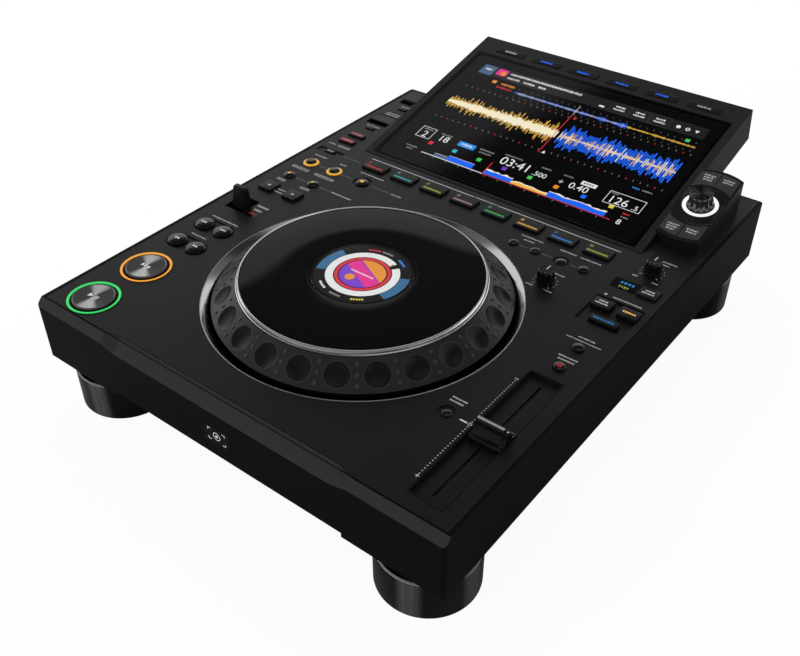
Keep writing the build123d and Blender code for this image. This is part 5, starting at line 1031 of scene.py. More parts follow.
def build_play_keys():
    """The two large caps of spun metal, with their signs."""
    radius, flange = 14.2, 15.2
    for node in ("play_key", "cue_key"):
        x, y, bottom, top = node_seat(node)
        shape = Shape()
        side = [(AXIS, bottom), (STEM, bottom), (STEM, bottom + 0.8), (flange, bottom + 0.8), (flange, bottom + 2.3),
                (radius, bottom + 2.3), (radius, top - 0.9)]
        bevel = [(radius, top - 0.9), (radius - 0.15, top - 0.45), (radius - 0.7, top), (radius - 1.05, top),
                 (radius - 1.3, top - 0.25)]
        crown = [(radius - 1.3, top - 0.25), (6.0, top - 0.34), (AXIS, top - 0.4)]
        for profile, slot in ((side, 2), (softened(bevel, 0.25, 3), 3), (crown, 0)):
            rings = [lifted(circle(x, y, max(r, AXIS), 128), z) for r, z in profile]
            shape.rings(rings, slot, slot == 2, slot == 0)
        level = top - 0.36
        if node == "play_key":
            shape.polygon_mark(triangle(x - 2.8, y, 4.0), level, 1)
            for left in (x + 1.0, x + 2.9):
                shape.mark(left, left + 1.0, y - 1.8, y + 1.8, level, 1)
        else:
            shape.words(x - 4.2, x + 4.2, y, level, 1, 3.0)
        # the caps' metal carries a painted highlight in two lobes
        metal = spun_metal_painted_highlight(node + " spun metal", (0.06, 0.06, 0.059), (0.7, 0.7, 0.68), 0.26, (x, y, 0), 2.0,
                           math.radians(-70))
        shape.done(node + "_cap", node, [metal, "bright ink", "key side", "polished"], [node], "key_metal", 30)


def build_light_rings():
    """The glowing rings round play and cue, and the white ring of the selector."""
    shape = Shape()
    for slot, node in enumerate(("play_key", "cue_key")):
        x, y, _, _ = node_seat(node)
        profile = [(15.9, -3.0), (17.5, -3.0), (17.5, 0.45), (17.3, 0.7), (17.0, 0.8), (16.3, 0.7), (15.9, 0.3)]
        shape.turned(x, y, profile, slot, 128, True)
        well = [(14.95, -4.6), (19.2, -4.6), (19.2, -3.0), (15.85, -3.0), (15.85, 0.1), (14.95, 0.1)]
        shape.turned(x, y, well, 2, 128, True)
        lip = [(17.45, 0.0), (17.75, 0.0), (17.75, 0.35), (17.45, 0.35)]
        shape.turned(x, y, lip, 2, 128, True)
    pod = on_screen((POD_U, POD_V, POD_W))
    turn = Matrix.Rotation(bpy.context.scene.player_screen.tilt, 4, "X")
    ring = Shape(lambda point: pod + turn @ (Vector(point) * MM))
    profile = [(9.9, -1.0), (12.6, -1.0), (12.6, 0.1), (12.4, 0.3), (10.1, 0.3), (9.9, 0.1)]
    ring.turned(0, 0, profile, 0, 96, True)
    shape.done("play_light_rings", PLAYER, ["play light", "cue light", "key side"],
               ["light_rings"], "light_ring", 40)
    ring.done("selector_light_ring", PLAYER, ["lit white"], ["light_rings"], "light_ring", 40)


def build_search_keys():
    """Four polished domes in two pairs, each with its sign."""
    for node, turn, bar in (("search_back", math.pi, False), ("search_forward", 0.0, False),
                            ("track_back", math.pi, True), ("track_forward", 0.0, True)):
        x, y, _, _ = node_seat(node)
        top = 2.0
        shape = Shape()
        round_cap(shape, x, y, 7.2, top, 0, 0.7, 0.7)
        for i in (-1, 1):
            shape.polygon_mark(triangle(x + i * 1.15, y, 2.3, turn), top - 0.01, 1)
        if bar:
            middle = x + math.cos(turn) * 2.75
            shape.mark(middle - 0.25, middle + 0.25, y - 1.15, y + 1.15, top - 0.01, 1)
        shape.done(node + "_dome", node, ["dome", "bright ink"], [node], "key_metal", 35)


def build_lever():
    """The direction lever: a tall blade with a stepped head and soft edges."""
    x, y, _, top = node_seat("direction_lever")
    reach = node_middle("direction_lever")[1].x / 2
    axis = -8.0
    shape = Shape()
    rows = ((axis, 13.0, 8.6), (0.0, 13.0, 8.6), (5.0, 12.5, 6.9), (12.6, 11.6, 5.2), (13.2, 11.4, 5.0),
            (13.9, 11.0, 4.6), (14.6, 10.6, 4.2), (14.9, 10.2, 3.8), (top, 9.6, 3.2))
    shape.rings([lifted(rounded_box(x, y, width, depth, 0.7), z) for z, width, depth in rows])
    for radius, half in ((3.5, 6.5), (2.0, reach)):
        shape.rings([[(x + side * half, y + radius * math.cos(a), axis + radius * math.sin(a))
                      for a in turn_steps(32)] for side in (-1, 1)])
    for step in range(3):
        shape.mark(x - 4.0, x + 4.0, y - 1.3 + step * 1.1, y - 0.9 + step * 1.1, top)
    shape.done("lever_blade", "direction_lever", ["lever"], ["direction_lever"], "knob_plastic", 30)


def build_left_keys():
    """Jump, beat loop, loop and reloop keys at the left."""
    for node, turn in (("jump_back_key", math.pi), ("jump_forward_key", 0.0)):
        x, y, _, _ = node_seat(node)
        shape = Shape()
        bar_cap(shape, x, y, 12.6, 12.2, 2.0)
        shape.polygon_mark(triangle(x, y, 3.0, turn), 2.0, 2)
        shape.done(node + "_cap", node, ["key", "key side", "white ink"], [node], "key_plastic", 30)
    for node in ("loop_in_key", "loop_out_key"):
        x, y, _, _ = node_seat(node)
        shape = Shape()
        ring = [(AXIS, KEY_BOTTOM), (STEM, KEY_BOTTOM), (STEM, KEY_UNDER), (7.4, KEY_UNDER), (7.4, KEY_SEAT),
                (6.4, KEY_SEAT), (6.4, 0.35), (6.1, 0.7), (4.6, 0.95), (AXIS, 0.95)]
        shape.turned(x, y, ring, 0, 48)
        dome = [(AXIS, 0.9), (4.5, 0.9), (4.4, 1.5), (3.9, 2.0), (2.8, 2.28), (1.4, 2.38), (AXIS, 2.4)]
        shape.turned(x, y, dome, 1, 48)
        lip = [(6.38, 0.0), (6.62, 0.0), (6.62, 0.3), (6.38, 0.3)]
        shape.turned(x, y, lip, 2, 48, True)
        shape.done(node + "_cap", node, ["loop light", "knob", "key side"], [node], "key_plastic", 35)
    shape = Shape()
    middle, y, _, _ = node_seat("beat_loop_keys")
    for x in (middle - 12.1, middle + 12.1):
        round_cap(shape, x, y, 4.8, 2.0, 0, 0.9, 0.5)
        shape.turned(x - 0.6, y + 0.6, [(AXIS, 1.6), (1.25, 1.6), (1.2, 1.98), (AXIS, 2.0)], 1, 16)
    shape.done("beat_loop_caps", "beat_loop_keys", ["knob", "loop light"], ["beat_loop_keys"], "key_plastic", 35)
    x, y, _, _ = node_seat("reloop_key")
    shape = Shape()
    round_cap(shape, x, y, 4.9, 1.4, 0, 0.5, 0.5)
    shape.turned(x, y, [(AXIS, 1.0), (1.9, 1.0), (1.7, 1.36), (AXIS, 1.4)], 1, 24)
    shape.done("reloop_cap", "reloop_key", ["knob", "loop light"], ["reloop_key"], "key_plastic", 35)


def build_side_keys():
    """The source key, two lit media keys and two stop keys at the upper left."""
    x = 19.7
    shape = Shape()
    bar_cap(shape, x, 269.8, 8.6, 4.2, 0.6, 0, 1, 0.4, 0.2)
    shape.words(x - 2.6, x + 2.6, 269.8, 0.6, 3, 1.4)
    for y, slot in ((291.0, 2), (303.8, 4)):
        bar_cap(shape, x, y, 14.8, 5.6, 1.4, 0, 1, 0.5, 0.3)
        shape.mark(x - 6.4, x + 6.4, y - 1.7, y + 2.1, 1.4, slot, 0.4)
        shape.words(x - 4.8, x + 4.8, y + 0.2, 1.44, 5, 1.4)
    for y in (321.0, 365.4):
        bar_cap(shape, x, y, 8.0, 3.2, 0.9, 1, 1, 0.4, 0.25)
    finishes = ["key", "key side", "red light", "white ink", "dim red", "soft lit pink"]
    shape.done("left_side_caps", "left_side_keys", finishes, ["left_side_keys"], "key_plastic", 30)


PAD_COLOURS = ("red", "cyan", "lime", "pink", "green", "gold", "sky", "lime")


def build_pads():
    """Eight pads, each with a small mark and a lit bar of its own colour."""
    for i, colour in enumerate(PAD_COLOURS):
        node = f"hot_cue_{i + 1}"
        x, y, _, _ = node_seat(node)
        top, left = 1.8, x - 8.2
        shape = Shape()
        bar_cap(shape, x, y, 20.2, 11.8, top, 0, 1, 0.5, 0.4)
        shape.mark(left, x + 8.2, y - 3.5, y - 2.4, top, 2)
        for step in range(20):
            shape.mark(left + step * 0.82, x - 7.7 + step * 0.82, y - 1.9, y - 1.5, top, 2)
        for row in range(2):
            shape.mark(left, x - 6.6 + 0.5 * (i % 2), y + 3.2 - row * 1.3, y + 3.9 - row * 1.3, top, 2)
        shape.mark(left, x - 7.5, y + 1.2, y + 3.9, top, 2)
        finishes = ["pad", "key side", "soft lit " + colour]
        shape.done(node + "_pad", node, finishes, [node], "pad_rubber", 30)


def build_memory_row():
    """The call keys, the delete and memory keys, and the three tempo keys."""
    shape = Shape()
    middle, y, _, _ = node_seat("call_keys")
    for x in (middle - 8.85, middle + 8.85):
        round_cap(shape, x, y, 3.8, 1.9, 0, 0.9, 0.5)
    shape.done("call_caps", "call_keys", ["knob"], ["call_keys"], "key_plastic", 35)
    for node, radius, top in (("delete_key", 4.2, 0.5), ("memory_key", 3.9, 1.6), ("tempo_range_key", 3.9, 2.0),
                              ("tempo_reset_key", 3.3, 0.5)):
        x, y, _, _ = node_seat(node)
        shape = Shape()
        round_cap(shape, x, y, radius, top, 0, 0.5, 0.4)
        shape.done(node + "_cap", node, ["knob"], [node], "key_plastic", 35)
    x, y, _, _ = node_seat("master_tempo_key")
    shape = Shape()
    round_cap(shape, x, y, 3.9, 2.0, 0, 0.5, 0.4)
    shape.turned(x, y, [(AXIS, 1.6), (2.0, 1.6), (1.8, 1.95), (AXIS, 2.0)], 1, 24)
    shape.done("master_tempo_cap", "master_tempo_key", ["knob", "red light"], ["master_tempo_key"],
               "key_plastic", 35)


def add_knob_crown(shape, x, y, top):
    """The knob's top: flat facets that meet in the middle and alternate in height."""
    corners = 16
    verts = [(x, y, top - 0.25)]
    for i, angle in enumerate(turn_steps(corners)):
        verts.append((x + 4.6 * math.cos(angle), y + 4.6 * math.sin(angle), top - (0.0 if i % 2 else 0.3)))
    shape.add(verts, [(0, 1 + i, 1 + (i + 1) % corners) for i in range(corners)])


def build_knobs():
    """Two fluted knobs, each with a white pointer down its side and over its top."""
    for node in ("feel_knob", "speed_knob"):
        x, y, _, top = node_seat(node)
        shape = Shape()
        rings = []
        rows = ((0.5, 6.0, 0.1), (1.0, 6.0, 0.9), (top - 2.4, 5.75, 1.1), (top - 1.5, 5.6, 0.7), (top - 0.7, 5.2, 0.25),
                (top - 0.2, 4.9, 0.0), (top, 4.6, 0.0))
        for z, radius, depth in rows:
            ring = []
            for i in range(144):
                angle = math.tau * (i + 0.5) / 144
                flute = max(0.0, math.cos(angle * 9)) ** 1.5
                r = radius - depth * flute
                ring.append((x + r * math.cos(angle), y + r * math.sin(angle), z))
            rings.append(ring)
        shape.rings(rings, close_end=False)
        add_knob_crown(shape, x, y, top)
        shape.turned(x, y, [(AXIS, -9.2), (3.0, -9.2), (3.0, 0.6), (AXIS, 0.6)], 0, 32)
        shape.mark(x - 0.4, x + 0.4, y + 0.2, y + 4.6, top, 1, 0.0, 0.08)
        shape.prism([(x - 0.4, y + 4.5), (x + 0.4, y + 4.5), (x + 0.4, y + 5.5), (x - 0.4, y + 5.5)],
                    top - 2.6, top - 0.12, 1)
        shape.done(node + "_cap", node, ["knob", "white ink"], [node], "knob_plastic", 30)


def build_right_keys():
    """The mode key and the three sync keys, each with its lit legend."""
    rows = (("mode_key", 13.4, 11.0, 1.5, "bright ink", 2), ("sync_key", 13.6, 9.8, 1.8, "bright ink", 2),
            ("sync_master_key", 13.6, 9.8, 1.8, "lit gold", 1), ("key_sync_key", 19.4, 5.8, 1.8, "soft lit sky", 1))
    for node, width, depth, top, colour, lines in rows:
        x, y, _, _ = node_seat(node)
        shape = Shape()
        bar_cap(shape, x, y, width, depth, top)
        half = width / 2 - 2.2
        if lines == 1:
            shape.words(x - half, x + half, y, top, 2, 1.6)
        else:
            shape.words(x - half * 0.7, x + half * 0.7, y + 1.4, top, 2, 1.4)
            shape.words(x - half, x + half, y - 1.4, top, 2, 1.4)
        shape.done(node + "_cap", node, ["key", "key side", colour], [node], "key_plastic", 30)


def build_fader():
    """The tempo fader's cap: ridge with a white line, hollow flanks, soft toes and a side cheek."""
    middle, size = node_middle("tempo_fader")
    x0 = middle.x - size.x / 2
    y = middle.y
    top = 9.0
    shape = Shape()

    def side_view(height, low):
        """Half of the cap's side view, from the ridge down to its toe."""
        right = [(1.3, height), (1.9, height - 1.1), (2.6, height - 3.6), (3.8, height - 6.2), (4.9, 1.5), (5.6, 1.25),
                 (7.4, 1.3), (8.2, 1.0), (8.6, 0.35), (8.6, low)]
        left = [(-a, b) for a, b in reversed(right)]
        return softened(left + right, 0.35, 3)

    parts = ((x0, x0 + 18.4, top, -2.5), (x0 + 18.4, x0 + 19.2, 7.4, 0.3), (x0 + 19.2, x0 + size.x, 8.4, 0.3))
    for left, right, height, low in parts:
        outline = side_view(height, low)
        centre_z = (height + low) / 2
        rings = []
        for x, inset in ((left, 0.25), (left + 0.25, 0.0), (right - 0.25, 0.0), (right, 0.25)):
            rings.append([(x, y + a * (1 - inset / 9), centre_z + (b - centre_z) * (1 - inset / 6))
                          for a, b in outline])
        shape.rings(rings)
    shape.mark(x0 + 0.5, x0 + 17.9, y - 0.4, y + 0.4, top, 1)
    for offset in (-1.05, 0.85):
        shape.mark(x0 + 0.5, x0 + 17.9, y + offset, y + offset + 0.2, top - 0.03, 2)
    shape.mark(x0 + 19.5, x0 + size.x - 0.3, y - 0.4, y + 0.4, 8.4, 1)
    shape.slab(x0 + 9.2, y, 1.2, 4.0, 0.2, [(0, -8.6), (0, -2.4)], 0)
    shape.done("fader_cap", "tempo_fader", ["fader", "white ink", "pill ink"],
               ["tempo_fader"], "fader_plastic", 30)


# ---- Printed marks on the deck --------------------------------------------------------------------------------

# Each row: left, right, y. Words stand for legends, lines tie keys together and pills are solid labels.
WORD_ROWS = (
    (15.7, 42.1, 143.1), (21.4, 36.4, 117.4), (13.0, 25.7, 258.9), (40.0, 46.4, 258.6), (61.4, 83.6, 258.6),
    (100.7, 110.0, 246.2), (62.9, 82.1, 221.0), (27.1, 35.0, 200.4), (27.1, 35.0, 196.6),
    (8.3, 16.0, 281.5), (14.4, 24.4, 370.6), (12.0, 26.0, 354.0), (12.0, 26.0, 351.0), (12.8, 26.0, 325.6),
    (13.2, 22.0, 387.0), (155.0, 173.0, 281.2),
    (210.0, 228.1, 258.4), (214.4, 223.0, 254.2), (241.5, 254.4, 258.4), (257.5, 273.1, 258.4),
    (252.9, 260.4, 231.2), (242.9, 248.9, 210.4), (256.4, 262.6, 210.6), (304.6, 315.2, 288.0), (305.8, 310.8, 284.4),
    (295.0, 298.4, 261.8), (309.6, 314.4, 260.8),
    (297.0, 318.0, 231.0), (299.6, 311.3, 181.6), (298.5, 311.5, 159.4), (299.8, 311.0, 156.2),
    (270.0, 280.0, 89.4), (270.0, 280.0, 86.4),
)
SMALL_WORD_ROWS = ((293.0, 317.3, 178.2),)
LINE_ROWS = (
    (34.3, 51.4, 269.8), (28.2, 35.9, 246.3), (52.6, 63.2, 246.3), (81.8, 99.0, 246.3),
    (26.8, 37.6, 221.0), (50.8, 61.0, 221.0), (215.6, 222.6, 246.2), (233.6, 241.6, 246.2), (256.4, 261.0, 246.2),
)
PAD_LINES = ((54.5, 153.6, 281.0), (174.6, 276.3, 281.0))
PILL_ROWS = ((18.0, 30.4, 281.5, 2.6), (10.7, 27.6, 234.6, 3.2), (34.0, 53.2, 234.6, 3.2), (15.0, 23.2, 212.4, 3.0),
             (39.3, 47.7, 212.4, 3.0))


def build_legends():
    """Everything that is printed on the deck."""
    shape = Shape()
    height = bpy.context.scene.player_finish.legend_height
    for x0, x1, y in WORD_ROWS:
        shape.words(x0, x1, y, 0.0, 0, height)
    for x0, x1, y in SMALL_WORD_ROWS:
        shape.words(x0, x1, y, 0.0, 0, height * 0.7)
    for x0, x1, y in LINE_ROWS:
        shape.mark(x0, x1, y - 0.25, y + 0.25, 0.0, 1)
    for x0, x1, y in PAD_LINES:
        shape.mark(x0, x1, y - 0.3, y + 0.3, 0.0, 4)
    for x0, x1, y, tall in PILL_ROWS:
        shape.mark(x0, x1, y - tall / 2, y + tall / 2, 0.0, 2, 0.8)
        shape.words(x0 + 1.4, x1 - 1.2, y, 0.05, 3, tall * 0.5)
    shape.polygon_mark(triangle(291.6, 231.0, 2.6, -math.pi / 2), 0.0, 0)
    build_knob_scales(shape)
    build_fader_scale(shape)
    build_seams(shape, 5)
    finishes = ["white ink", "grey ink", "pill ink", "key side", "bright ink", "seam"]
    shape.done("deck_legends", PLAYER, finishes)


def build_seams(shape, slot):
    """The dark lines where the deck meets the case, and round the fader's tray."""
    middle, size = node_middle("deck_panel")
    left, right = middle.x - size.x / 2, middle.x + size.x / 2
    front, rear = middle.y - size.y / 2, middle.y + size.y / 2
    wide, thin = 0.6, 0.4
    fader = node_middle("tempo_fader")[0].y
    tray_left, tray_right = 293.1, 315.7
    tray_front, tray_rear = fader - 60.2, fader + 60.2
    for x0, x1, y0, y1 in (
            (left, right, front, front + wide), (left, left + wide, front + wide, rear),
            (right - wide, right, front + wide, rear),
            (tray_left - thin, tray_left, tray_front - thin, tray_rear + thin),
            (tray_right, tray_right + thin, tray_front - thin, tray_rear + thin),
            (tray_left, tray_right, tray_front - thin, tray_front),
            (tray_left, tray_right, tray_rear, tray_rear + thin)):
        shape.mark(x0, x1, y0, y1, 0.01, slot)


def build_knob_scales(shape):
    """Dots and end lines round the two knobs."""
    for node in ("feel_knob", "speed_knob"):
        x, y, _, _ = node_seat(node)
        for i in range(11):
            angle = math.radians(225 - 27 * i)
            if i in (0, 10):
                near, far = 7.0, 9.4
                side = 0.022
                points = [(x + r * math.cos(angle + s), y + r * math.sin(angle + s))
                          for r, s in ((near, -side), (far, -side), (far, side), (near, side))]
                shape.polygon_mark(points, 0.0)
            else:
                shape.polygon_mark(circle(x + 8.2 * math.cos(angle), y + 8.2 * math.sin(angle), 0.4, 8), 0.0)


def build_fader_scale(shape):
    """The fader's dotted scale with its ends, its nought and its middle bar."""
    x, middle_y = 290.8, node_middle("tempo_fader")[0].y
    dots, pitch, line = 41, 2.32, 0.25
    for i in range(dots):
        if i == dots // 2:
            continue
        y = middle_y + (i - dots // 2) * pitch
        shape.mark(x - 0.35, x + 0.35, y - 0.35, y + 0.35, 0.0)
    shape.polygon_mark(sector(x, middle_y, 0.75, 1.25, 0.0, math.tau * 0.999, 25), 0.0)
    shape.mark(284.0, 288.9, middle_y - 0.5, middle_y + 0.5, 0.0, 4)
    low, high = middle_y - 48.4, middle_y + 48.4
    shape.mark(x - 1.3, x + 1.3, low - line, low + line, 0.0)
    shape.mark(x - line, x + line, low - 1.3, low + 1.3, 0.02)
    shape.mark(x - 1.3, x + 1.3, high - line, high + line, 0.0)


def build_windows():
    """The dark legend windows beside the lever and the mode key, and the card slot's plate."""
    shape = Shape()
    windows = (((31.4, 44.8, 158.0, 177.6),
                ((33.0, 43.2, 173.0, 1, 2.2), (34.4, 42.0, 167.6, 1, 2.2), (34.6, 41.4, 162.2, 2, 2.0))),
               ((287.8, 306.4, 241.4, 253.4), ((293.0, 302.6, 249.4, 3, 2.6), (294.0, 301.4, 244.6, 4, 2.6))))
    for window, rows in windows:
        shape.mark(*window, 0.02, 0, 0.8, 0.1)
        for x0, x1, y, slot, tall in rows:
            shape.words(x0, x1, y, 0.14, slot, tall)
    card = [(6.4, 383.6), (20.6, 383.6), (20.6, 394.0), (6.4, 394.0)]
    shape.prism(softened(card, 0.8, 3, True), -0.1, 0.35, 5)
    finishes = ["black gloss", "white ink", "red light", "soft lit sky", "soft lit lime", "key"]
    shape.done("legend_windows", PLAYER, finishes)


# ---- Screen ---------------------------------------------------------------------------------------------------

PICTURE_W = -1.95
DISPLAY_FRONT_W = -2.05


def build_screen():
    """The touch glass with its black border, and the display behind it."""
    _, size = node_middle("screen_glass")
    half = size.x / 2
    height = bpy.context.scene.player_screen.glass_height / MM
    half_clear = half - 3.2
    glass = Shape(on_screen)
    front = rounded_box(0, height / 2, 2 * half, height, 1.0)
    border = rounded_box(0, height / 2, 2 * half_clear, height - 6.4, 1.0)
    soft = rounded_box(0, height / 2, 2 * half - 0.3, height - 0.3, 0.9)
    levels = ((soft, 0.0), (soft, -0.002), (front, -0.15), (front, -1.74), (front, -1.75))
    rings = [lifted(outline, w) for outline, w in levels]
    glass.rings(rings[:2], 0, True, False)
    glass.rings(rings[1:4], 1, False, False)
    glass.rings(rings[3:], 0, False, True)
    glass.done("touch_glass", PLAYER, ["glass", "black mask"], ["screen_glass"], "touch_glass", 30)
    edge = rounded_box(0, height / 2, 2 * half - 0.6, height - 0.6, 0.9)
    mask = Shape(on_screen)
    mask.rings([lifted(outline, w) for outline, w in ((edge, -1.6), (edge, -1.7), (border, -1.7), (border, -1.6))],
               loop=True)
    mask.done("glass_border", PLAYER, ["black mask"], (), "touch_glass", 30)
    display = Shape(on_screen)
    panel = rounded_box(0, height / 2, 2 * half - 6.0, height - 8.2, 0.6)
    display.prism(panel, -5.8, DISPLAY_FRONT_W)
    display.done("display_slab", PLAYER, ["panel black"], ["display_panel"], "display", 30)


def digits(text, u, v, height, finish_name, name):
    """Plain numbers for the display, as flat letters of Blender's own font."""
    curve = bpy.data.curves.new(name, "FONT")
    curve.body = text
    curve.size = height * 1.38 * MM
    curve.extrude = 0.00003
    holder = bpy.data.objects.new(name + "_curve", curve)
    bpy.context.scene.collection.objects.link(holder)
    mesh = bpy.data.meshes.new_from_object(holder)
    bpy.data.objects.remove(holder)
    mesh.name = name
    mesh.transform(screen_matrix() @ Matrix.Translation(Vector((u, v, PICTURE_W + 0.1)) * MM))
    mesh.materials.clear()
    mesh.materials.append(finish(finish_name))
    piece = bpy.data.objects.new(name, mesh)
    bpy.context.scene.collection.objects.link(piece)
    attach(piece, PLAYER)


COLOURS = ["dark", "white", "grey", "red", "green", "blue", "sky", "gold", "cream", "orange", "slate", "dim", "cyan",
           "purple", "yellow", "magenta"]
PICTURE_LEFT, PICTURE_RIGHT = -101.5, 105.5
BEAT = 5.86


class Picture(Shape):
    """Flat marks on the display, by the name of their colour and their lift over the picture's plane."""

    def __init__(self):
        super().__init__(on_screen)

    def bar(self, u0, u1, v0, v1, colour, lift=0.0, corner=0.0, thick=0.04):
        """A box, square or with round corners."""
        self.mark(u0, u1, v0, v1, PICTURE_W + lift, COLOURS.index(colour), corner, thick)

    def label(self, u0, u1, v, colour, height, lift=0.0):
        """A row of small blocks in a word's place."""
        self.words(u0, u1, v, PICTURE_W + lift, COLOURS.index(colour), height)

    def patch(self, points, colour, lift=0.0):
        """A mark of any outline."""
        self.polygon_mark(points, PICTURE_W + lift, COLOURS.index(colour))


def wave_height(u, seed, scale):
    """A steady random height between 0 and 1 along the wave."""
    value = noise.noise(Vector((u * scale, seed, 0.3)))
    return max(0.0, min(1.0, 0.5 + value * 0.9))


def bars(shape, u0, u1, v, step, width, height_at, colour, lift=0.0):
    """Upright bars along a wave, even about its middle line."""
    count = int((u1 - u0) / step)
    for i in range(count):
        u = u0 + (i + 0.5) * step
        half = height_at(u)
        shape.bar(u - width / 2, u + width / 2, v - half, v + half, colour, lift, thick=0.02)


def build_picture():
    """The display's picture: a header, two waves, numbers and an overview with cue marks."""
    shape = Picture()
    header(shape)
    small_wave(shape)
    main_wave(shape)
    info_row(shape)
    overview(shape)
    shape.done("display_picture", PLAYER, ["lit " + colour for colour in COLOURS])


def header(shape):
    """The picture's top strip: two tiles, title rows, three tabs and three signs."""
    shape.bar(PICTURE_LEFT, PICTURE_RIGHT, 128.6, 142.2, "dark", thick=0.01)
    shape.bar(PICTURE_LEFT, -89.0, 129.2, 142.0, "slate", 0.02)
    shape.label(-98.0, -92.0, 136.6, "white", 2.6, 0.05)
    shape.bar(-86.6, -76.6, 132.6, 141.4, "magenta", 0.02, corner=1.5)
    shape.patch(circle(-80.0, 136.0, 2.8, 20), "orange", 0.05)
    shape.label(-73.5, -5.0, 138.4, "white", 2.7, 0.03)
    shape.label(-73.5, -62.0, 132.6, "white", 2.5, 0.03)
    shape.label(-57.5, -46.5, 132.6, "white", 2.5, 0.03)
    shape.label(-42.5, -36.0, 132.6, "white", 2.5, 0.03)
    shape.bar(14.4, 19.2, 131.4, 133.4, "white", 0.03, corner=0.8)
    for u in (23.2, 40.8, 58.4):
        shape.bar(u, u + 16.8, 128.8, 142.0, "dim", 0.02, thick=0.01)
        shape.bar(u + 0.35, u + 16.45, 129.15, 141.65, "dark", 0.04, thick=0.01)
        shape.label(u + 4.4, u + 12.4, 137.2, "white", 1.9, 0.06)
        shape.label(u + 3.6, u + 13.2, 133.6, "white", 1.9, 0.06)
    shape.patch(circle(82.4, 135.2, 1.9, 20), "white", 0.03)
    shape.patch(sector(90.2, 135.2, 1.1, 1.9, 0, math.tau * 0.999, 21), "white", 0.03)
    shape.patch(triangle(97.8, 135.4, 3.4, -math.pi / 2), "white", 0.03)


def small_wave(shape):
    """The upper wave, blue and white and then gold."""
    v = 117.6
    shape.label(-73.4, -60.4, 123.0, "orange", 2.6)
    shape.bar(-82.6, -78.6, 121.4, 125.2, "orange")
    shape.label(-75.4, -60.8, 118.2, "red", 2.4)
    bars(shape, -57.5, 48.0, v, 0.98, 0.5, lambda u: 0.7 + 2.2 * wave_height(u, 2.0, 0.17) ** 2, "blue")
    bars(shape, -55.0, 50.0, v, 1.46, 0.45, lambda u: 0.5 + 1.9 * wave_height(u, 5.0, 0.6) ** 2, "white", 0.03)
    bars(shape, 48.0, 105.0, v, 1.0, 0.6, lambda u: 0.5 + 1.2 * wave_height(u, 7.0, 0.5) ** 2, "gold")
    for i in range(28):
        u = -55.0 + i * BEAT
        for side in (-1, 1):
            shape.bar(u - 0.15, u + 0.15, v + side * 5.2 - 0.7, v + side * 5.2 + 0.7, "grey")
    shape.bar(94.2, 97.8, 121.2, 124.8, "green")
    shape.bar(1.55, 1.95, 112.6, 125.0, "white", 0.06)


def main_wave(shape):
    """The large wave: cream and gold to the left of the line, blue and gold to the right of it."""
    v = 85.0
    chance = random.Random(7)

    def spikes(u):
        """The gold spikes' height."""
        return 4.5 + 11.0 * chance.random() ** 1.8 * (0.55 + 0.45 * wave_height(u, 8.0, 0.05))

    def core(u):
        """The cream core's height."""
        swell = 1 - abs((u + 32) / 72) ** 3
        return 1.4 + 4.6 * max(swell, 0.1) * (0.3 + 0.7 * chance.random())

    def right(u):
        """The blue wave's height."""
        beat = 0.5 + 0.5 * math.cos((u - 6) * math.tau / BEAT)
        return 16.5 * (0.55 + 0.45 * chance.random()) * (0.75 + 0.25 * beat)

    bars(shape, PICTURE_LEFT, 2.0, v, 1.35, 0.7, spikes, "gold")
    bars(shape, PICTURE_LEFT, 4.0, v, 0.7, 0.72, core, "cream", 0.03)
    bars(shape, 6.0, PICTURE_RIGHT, v, 1.95, 1.25, right, "blue")
    bars(shape, 6.0, PICTURE_RIGHT, v, 1.3, 0.6, lambda u: 1.0 + 7.0 * chance.random() ** 2.5, "gold", 0.03)
    bars(shape, 6.0, PICTURE_RIGHT, v, 1.4, 0.7, lambda u: 0.8 + 9.0 * chance.random() ** 5, "cream", 0.06)
    shape.bar(1.45, 2.05, 59.5, 112.0, "red", 0.09)
    shape.patch(triangle(5.8, 109.0, 3.2, -math.pi / 2), "red")
    shape.patch(triangle(5.8, 61.6, 3.2, math.pi / 2), "white")
    for i in range(36):
        u = -99.5 + i * BEAT
        colour = "red" if i % 4 == 2 else "grey"
        for tick_v in (108.4, 63.0):
            shape.bar(u - 0.25, u + 0.25, tick_v - 0.9, tick_v + 0.9, colour)
    shape.label(85.2, 90.8, 56.4, "sky", 1.6)
    shape.label(93.2, 101.2, 56.4, "grey", 1.6)


def frame_lines(shape, u0, u1, v0, v1, colour):
    """Four thin lines round a box."""
    thick = 0.45
    for left, right, low, high in ((u0, u1, v0, v0 + thick), (u0, u1, v1 - thick, v1), (u0, u0 + thick, v0, v1),
                                   (u1 - thick, u1, v0, v1)):
        shape.bar(left, right, low, high, colour)


def info_row(shape):
    """The row of numbers under the wave, with its boxes, pills and small words."""
    frame_lines(shape, -99.3, -85.7, 33.3, 46.8, "white")
    shape.label(-96.8, -88.2, 44.2, "grey", 1.5)
    shape.label(-80.0, -69.2, 44.6, "grey", 1.5)
    shape.bar(-60.7, -44.9, 37.8, 43.8, "sky", corner=0.8)
    shape.label(-57.6, -48.0, 40.8, "white", 2.2, 0.05)
    shape.label(-40.6, -27.8, 42.4, "grey", 1.7)
    shape.label(-39.6, -28.8, 39.0, "grey", 1.7)
    shape.label(-19.0, -3.2, 45.8, "grey", 1.5)
    shape.label(14.6, 22.8, 45.4, "grey", 1.5)
    shape.label(34.0, 41.8, 45.4, "grey", 1.5)
    shape.bar(49.8, 62.3, 42.0, 46.3, "white")
    shape.label(51.8, 60.4, 44.1, "dark", 1.7, 0.05)
    frame_lines(shape, 73.2, 102.7, 32.5, 46.3, "white")
    shape.label(75.0, 80.6, 44.4, "grey", 1.4)
    shape.bar(33.6, 37.6, 37.4, 37.9, "white")
    shape.bar(35.35, 35.85, 35.7, 39.6, "white", 0.02)


